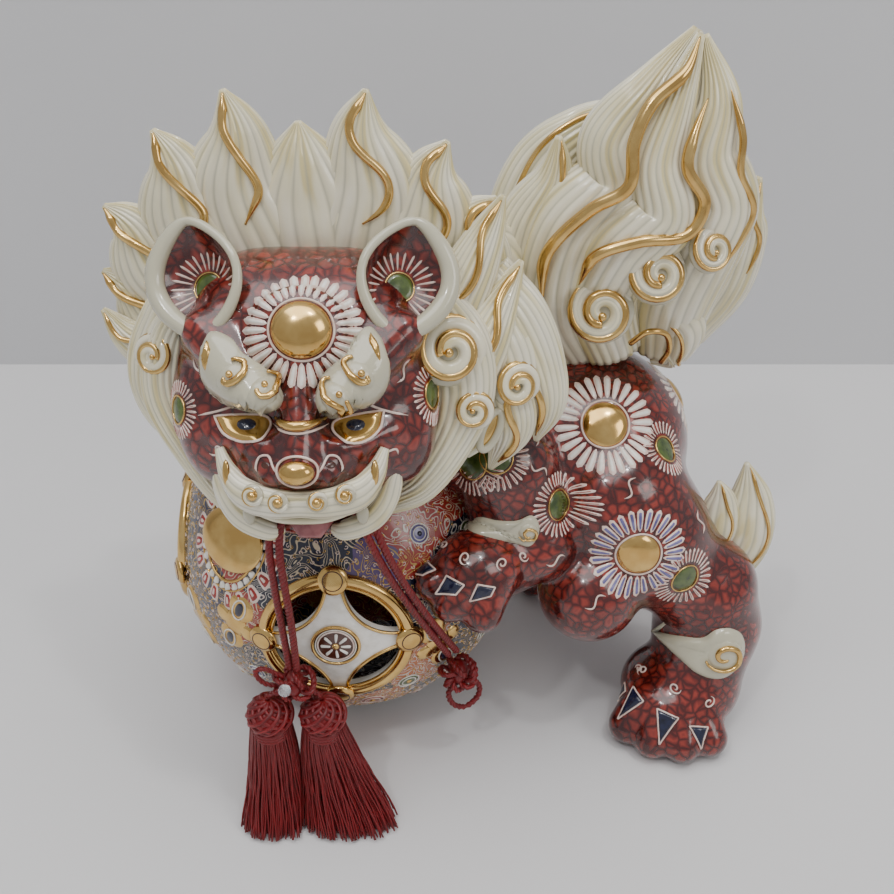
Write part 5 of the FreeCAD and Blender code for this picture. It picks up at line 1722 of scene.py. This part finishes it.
def skirtTree():
    # Loose silk strands that leave the neck of a tassel and rest on the table.
    maker = NodeMaker("tasselFringe", [
        ("Strands", "Int"), ("Middle", "Float"), ("Lean", "Float"), ("Foot", "Float"), ("Fence", "Float"),
        ("Side", "Float"), ("Thickness", "Float"), ("Seed", "Float"), ("Finish", "Material")])
    add, calc, given = maker.add, maker.calc, maker.given
    line = add("GeometryNodeCurvePrimitiveLine")
    joints = 14
    line = add("GeometryNodeResampleCurve", {"Curve": line.outputs[0], "Count": joints})
    spots = add("GeometryNodePoints", {"Count": given["Strands"]})
    placed = add("GeometryNodeInstanceOnPoints", {"Points": spots.outputs[0], "Instance": line.outputs[0]})
    strands = add("GeometryNodeRealizeInstances", {0: placed.outputs[0]})
    index = add("GeometryNodeInputIndex").outputs[0]
    strand = calc("FLOOR", calc("DIVIDE", calc("ADD", index, 0.5), joints))
    t = calc("DIVIDE", calc("SUBTRACT", index, calc("MULTIPLY", strand, joints)), joints - 1)
    chance = add("ShaderNodeTexWhiteNoise", {"W": calc("ADD", strand, given["Seed"])}, noise_dimensions="1D")
    lots = maker.split(chance.outputs["Color"])
    angle = calc("MULTIPLY", lots[0], 2 * math.pi)
    radius = calc("POWER", lots[1], 0.42)
    u = calc("MULTIPLY", calc("COSINE", angle), radius)
    v = calc("MULTIPLY", calc("SINE", angle), radius)
    spread = calc("POWER", t, 1.05)
    wide = calc("MULTIPLY_ADD", spread, calc("SUBTRACT", given["Foot"], 8.4 * mm), 8.4 * mm)
    late = calc("POWER", t, 2.4)
    wave = calc("SINE", calc("MULTIPLY_ADD", t, 9.0, calc("MULTIPLY", lots[2], 20.0)))
    wave = calc("MULTIPLY", calc("MULTIPLY", wave, t), 0.7 * mm)
    x = calc("ADD", given["Middle"], calc("MULTIPLY", given["Lean"], calc("POWER", t, 1.6)))
    x = calc("ADD", calc("ADD", x, calc("MULTIPLY", u, wide)), wave)
    inside = calc("MAXIMUM", calc("MULTIPLY", calc("SUBTRACT", x, given["Fence"]), given["Side"]), 0.45 * mm)
    x = calc("MULTIPLY_ADD", inside, given["Side"], given["Fence"])
    depth = calc("MULTIPLY", v, calc("MULTIPLY_ADD", t, 1.2 * mm, 7.0 * mm))
    reach = calc("MULTIPLY_ADD", lots[2], 7.0 * mm, 9.0 * mm)
    y = calc("SUBTRACT", calc("SUBTRACT", -92.5 * mm, calc("MULTIPLY", reach, late)), depth)
    y = calc("ADD", y, calc("MULTIPLY", wave, 0.6))
    lift = calc("MULTIPLY", calc("ADD", lots[0], lots[2]), calc("MULTIPLY", late, 2.0 * mm))
    z = calc("MAXIMUM", calc("ADD", calc("MULTIPLY", calc("SUBTRACT", 1.0, t), 51.5 * mm), lift), 0.4 * mm)
    hung = add("GeometryNodeSetPosition", {"Geometry": strands.outputs[0],
                                           "Position": maker.combine(x, y, z)})
    section = add("GeometryNodeCurvePrimitiveCircle", {"Resolution": 4, "Radius": given["Thickness"]})
    solid = add("GeometryNodeCurveToMesh", {"Curve": hung.outputs[0], "Profile Curve": section.outputs[0],
                                            "Fill Caps": True})
    return maker.finish(solid.outputs[0])


tasselForm = {
    "fence": -16.5,
    "headSize": (10.0, 9.6, 8.4),
    # body, middle x, lean, half foot, side of the fence, seed
    "tassels": [("tassel_left", -27.5, 0.0, 14.5, -1, 11), ("tassel_right", -5.5, 10.0, 20.0, 1, 23)],
    "strands": 700,
}


def addTassel(body, middle, lean, foot, side, seed):
    form = tasselForm
    head = Pile()
    centre = vec(middle, -92, 55.6)
    size = vec(*form["headSize"])
    turns = np.linspace(0, 1, 46)
    for hand in (-1, 1):
        for k in range(9):
            tilt = (turns - 0.5) * math.pi * 0.94
            angle = 2 * math.pi * k / 9 + hand * turns * math.pi * 1.15
            knit = np.stack([np.cos(tilt) * np.cos(angle), np.cos(tilt) * np.sin(angle), np.sin(tilt)], 1)
            head.add(*tubeShape(centre + knit * (size - 0.9 + 0.2 * hand), 1.05, 6))
    head.add(*eggShape(centre, size - 1.1, (0, 0, 1), 22, 14))
    for ring in range(3):
        a = np.linspace(0, 2 * math.pi, 40, endpoint=False)
        line = np.stack([middle + 7.4 * np.cos(a), -92 + 7.4 * np.sin(a), np.full(40, 49.6 - ring * 1.7)], 1)
        head.add(*closedTube(line, 1.0, 8))
    top = head.build(body + "_knitted_head", silk, body, "red_silk")
    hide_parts(body.replace("tassel", "tassel_head"))
    values = {"Strands": form["strands"], "Middle": middle * mm, "Lean": lean * mm, "Foot": foot * mm,
              "Fence": form["fence"] * mm, "Side": float(side), "Thickness": 0.42 * mm, "Seed": float(seed),
              "Finish": silk}
    fringe = Pile()
    verts, faces = growMesh(fringeTree, values)
    fringe.add(verts, faces, np.stack([verts[:, 0] / 3, verts[:, 2] / 20], 1))
    skirt = fringe.build(body + "_fringe", silk, body, "red_silk")
    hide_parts(body.replace("tassel", "tassel_skirt"))
    return top


def addKnots():
    knot = Pile()
    for turn, size in ((0, (9.0, 4.6, 6.6)), (60, (8.2, 5.2, 6.0))):
        twistedCord(knot, knotLine((-16, -91, 73), size, turn), 0.8, 0.6, 5.0, 2, 6, 1.0)
    knot.add(*eggShape((-16, -90.6, 73), (6.5, 3.8, 5.0), (0, 0, 1)))
    stub = smoothLine([(-20, -92, 77), (-27, -93, 83), (-31, -93, 81), (-28, -93, 75), (-21, -92, 72)], 40)
    twistedCord(knot, stub, 0.75, 0.5, 4.5, 2, 6, 1.0)
    for middle, side in ((-27.5, -1), (-5.5, 1)):
        hang = smoothLine([(-16 + side * 3, -91, 71), (-16 + side * 7.5, -91.5, 68.6), (middle, -92, 66.0)],
                          20)
        twistedCord(knot, hang, 0.8, 0.5, 4.5, 2, 6, 0.8)
    upper = knot.build("tassel_knot_braid", silk, "lion", "red_silk")
    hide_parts("tassel_knot")
    lower = Pile()
    for turn, size in ((20, (8.2, 5.0, 7.2)), (80, (7.2, 5.4, 6.4))):
        twistedCord(lower, knotLine((51, -67.5, 54), size, turn), 0.85, 0.6, 5.0, 2, 6, 1.0)
    lower.add(*eggShape((51, -66.5, 54), (5.6, 4.2, 5.2), (0, 0, 1)))
    loop = smoothLine([(50, -68, 49), (46.5, -69.0, 43), (48.5, -69.5, 36.5), (54, -68.5, 33.8),
                       (59.5, -65.5, 37.5), (59.5, -64.5, 44), (54, -66.5, 49)], 70)
    twistedCord(lower, loop, 0.9, 0.55, 4.5, 2, 6, 0.9)
    flower = lower.build("loop_knot_braid", silk, "loop", "red_silk")
    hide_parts("loop_knot")
    return upper, flower


fringeTree = skirtTree()
knotPiece, loopPiece = addKnots()
tasselPieces = [addTassel(*tassel) for tassel in tasselForm["tassels"]]
for name, ends in (("front", [knotPiece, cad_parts["knot_bead"]] + tasselPieces), ("rear", [loopPiece])):
    route = cordForm[name]
    line = cordLine("route_" + name, route)
    strandPile = Pile()
    length = twistedCord(strandPile, line, cordForm["ply"], cordForm["plyShift"], cordForm["pitch"])
    strand = strandPile.build("silk_cord_" + name, silk, "lion", "red_silk")
    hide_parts("cord_%s_strand" % name)
    tuple(vec(*route[0]) * mm)
    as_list(ends)
    print("cord", name, round(length, 1))


# Every enamel line, petal and dome of the casting becomes one mesh per finish.

def buildEnamels():
    slots = {gold.name: "gold_lustre", navy.name: "blue_enamel", violet.name: "blue_enamel",
             redEnamel.name: "red_glaze"}
    for name, pile in enamelPiles.items():
        made = pile.build("enamel_" + name, bpy.data.materials[name], slot=slots.get(name, "cream_glaze"))
        if name == navy.name:
            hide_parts("claws_fore_right", "claws_hind_right")


buildEnamels()
print("enamels laid")


# Carried-over pieces of the frame take their finishes here.

nodeFinish = {"ball_shell": brocade, "ball_window_rings": gold, "ball_medallions": gold, "knot_bead": glass}
for side in ballForm["turns"]:
    nodeFinish["ball_window_" + side] = white
for node, finish in nodeFinish.items():
    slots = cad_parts[node].data.materials
    slots.clear()
    slots.append(finish)
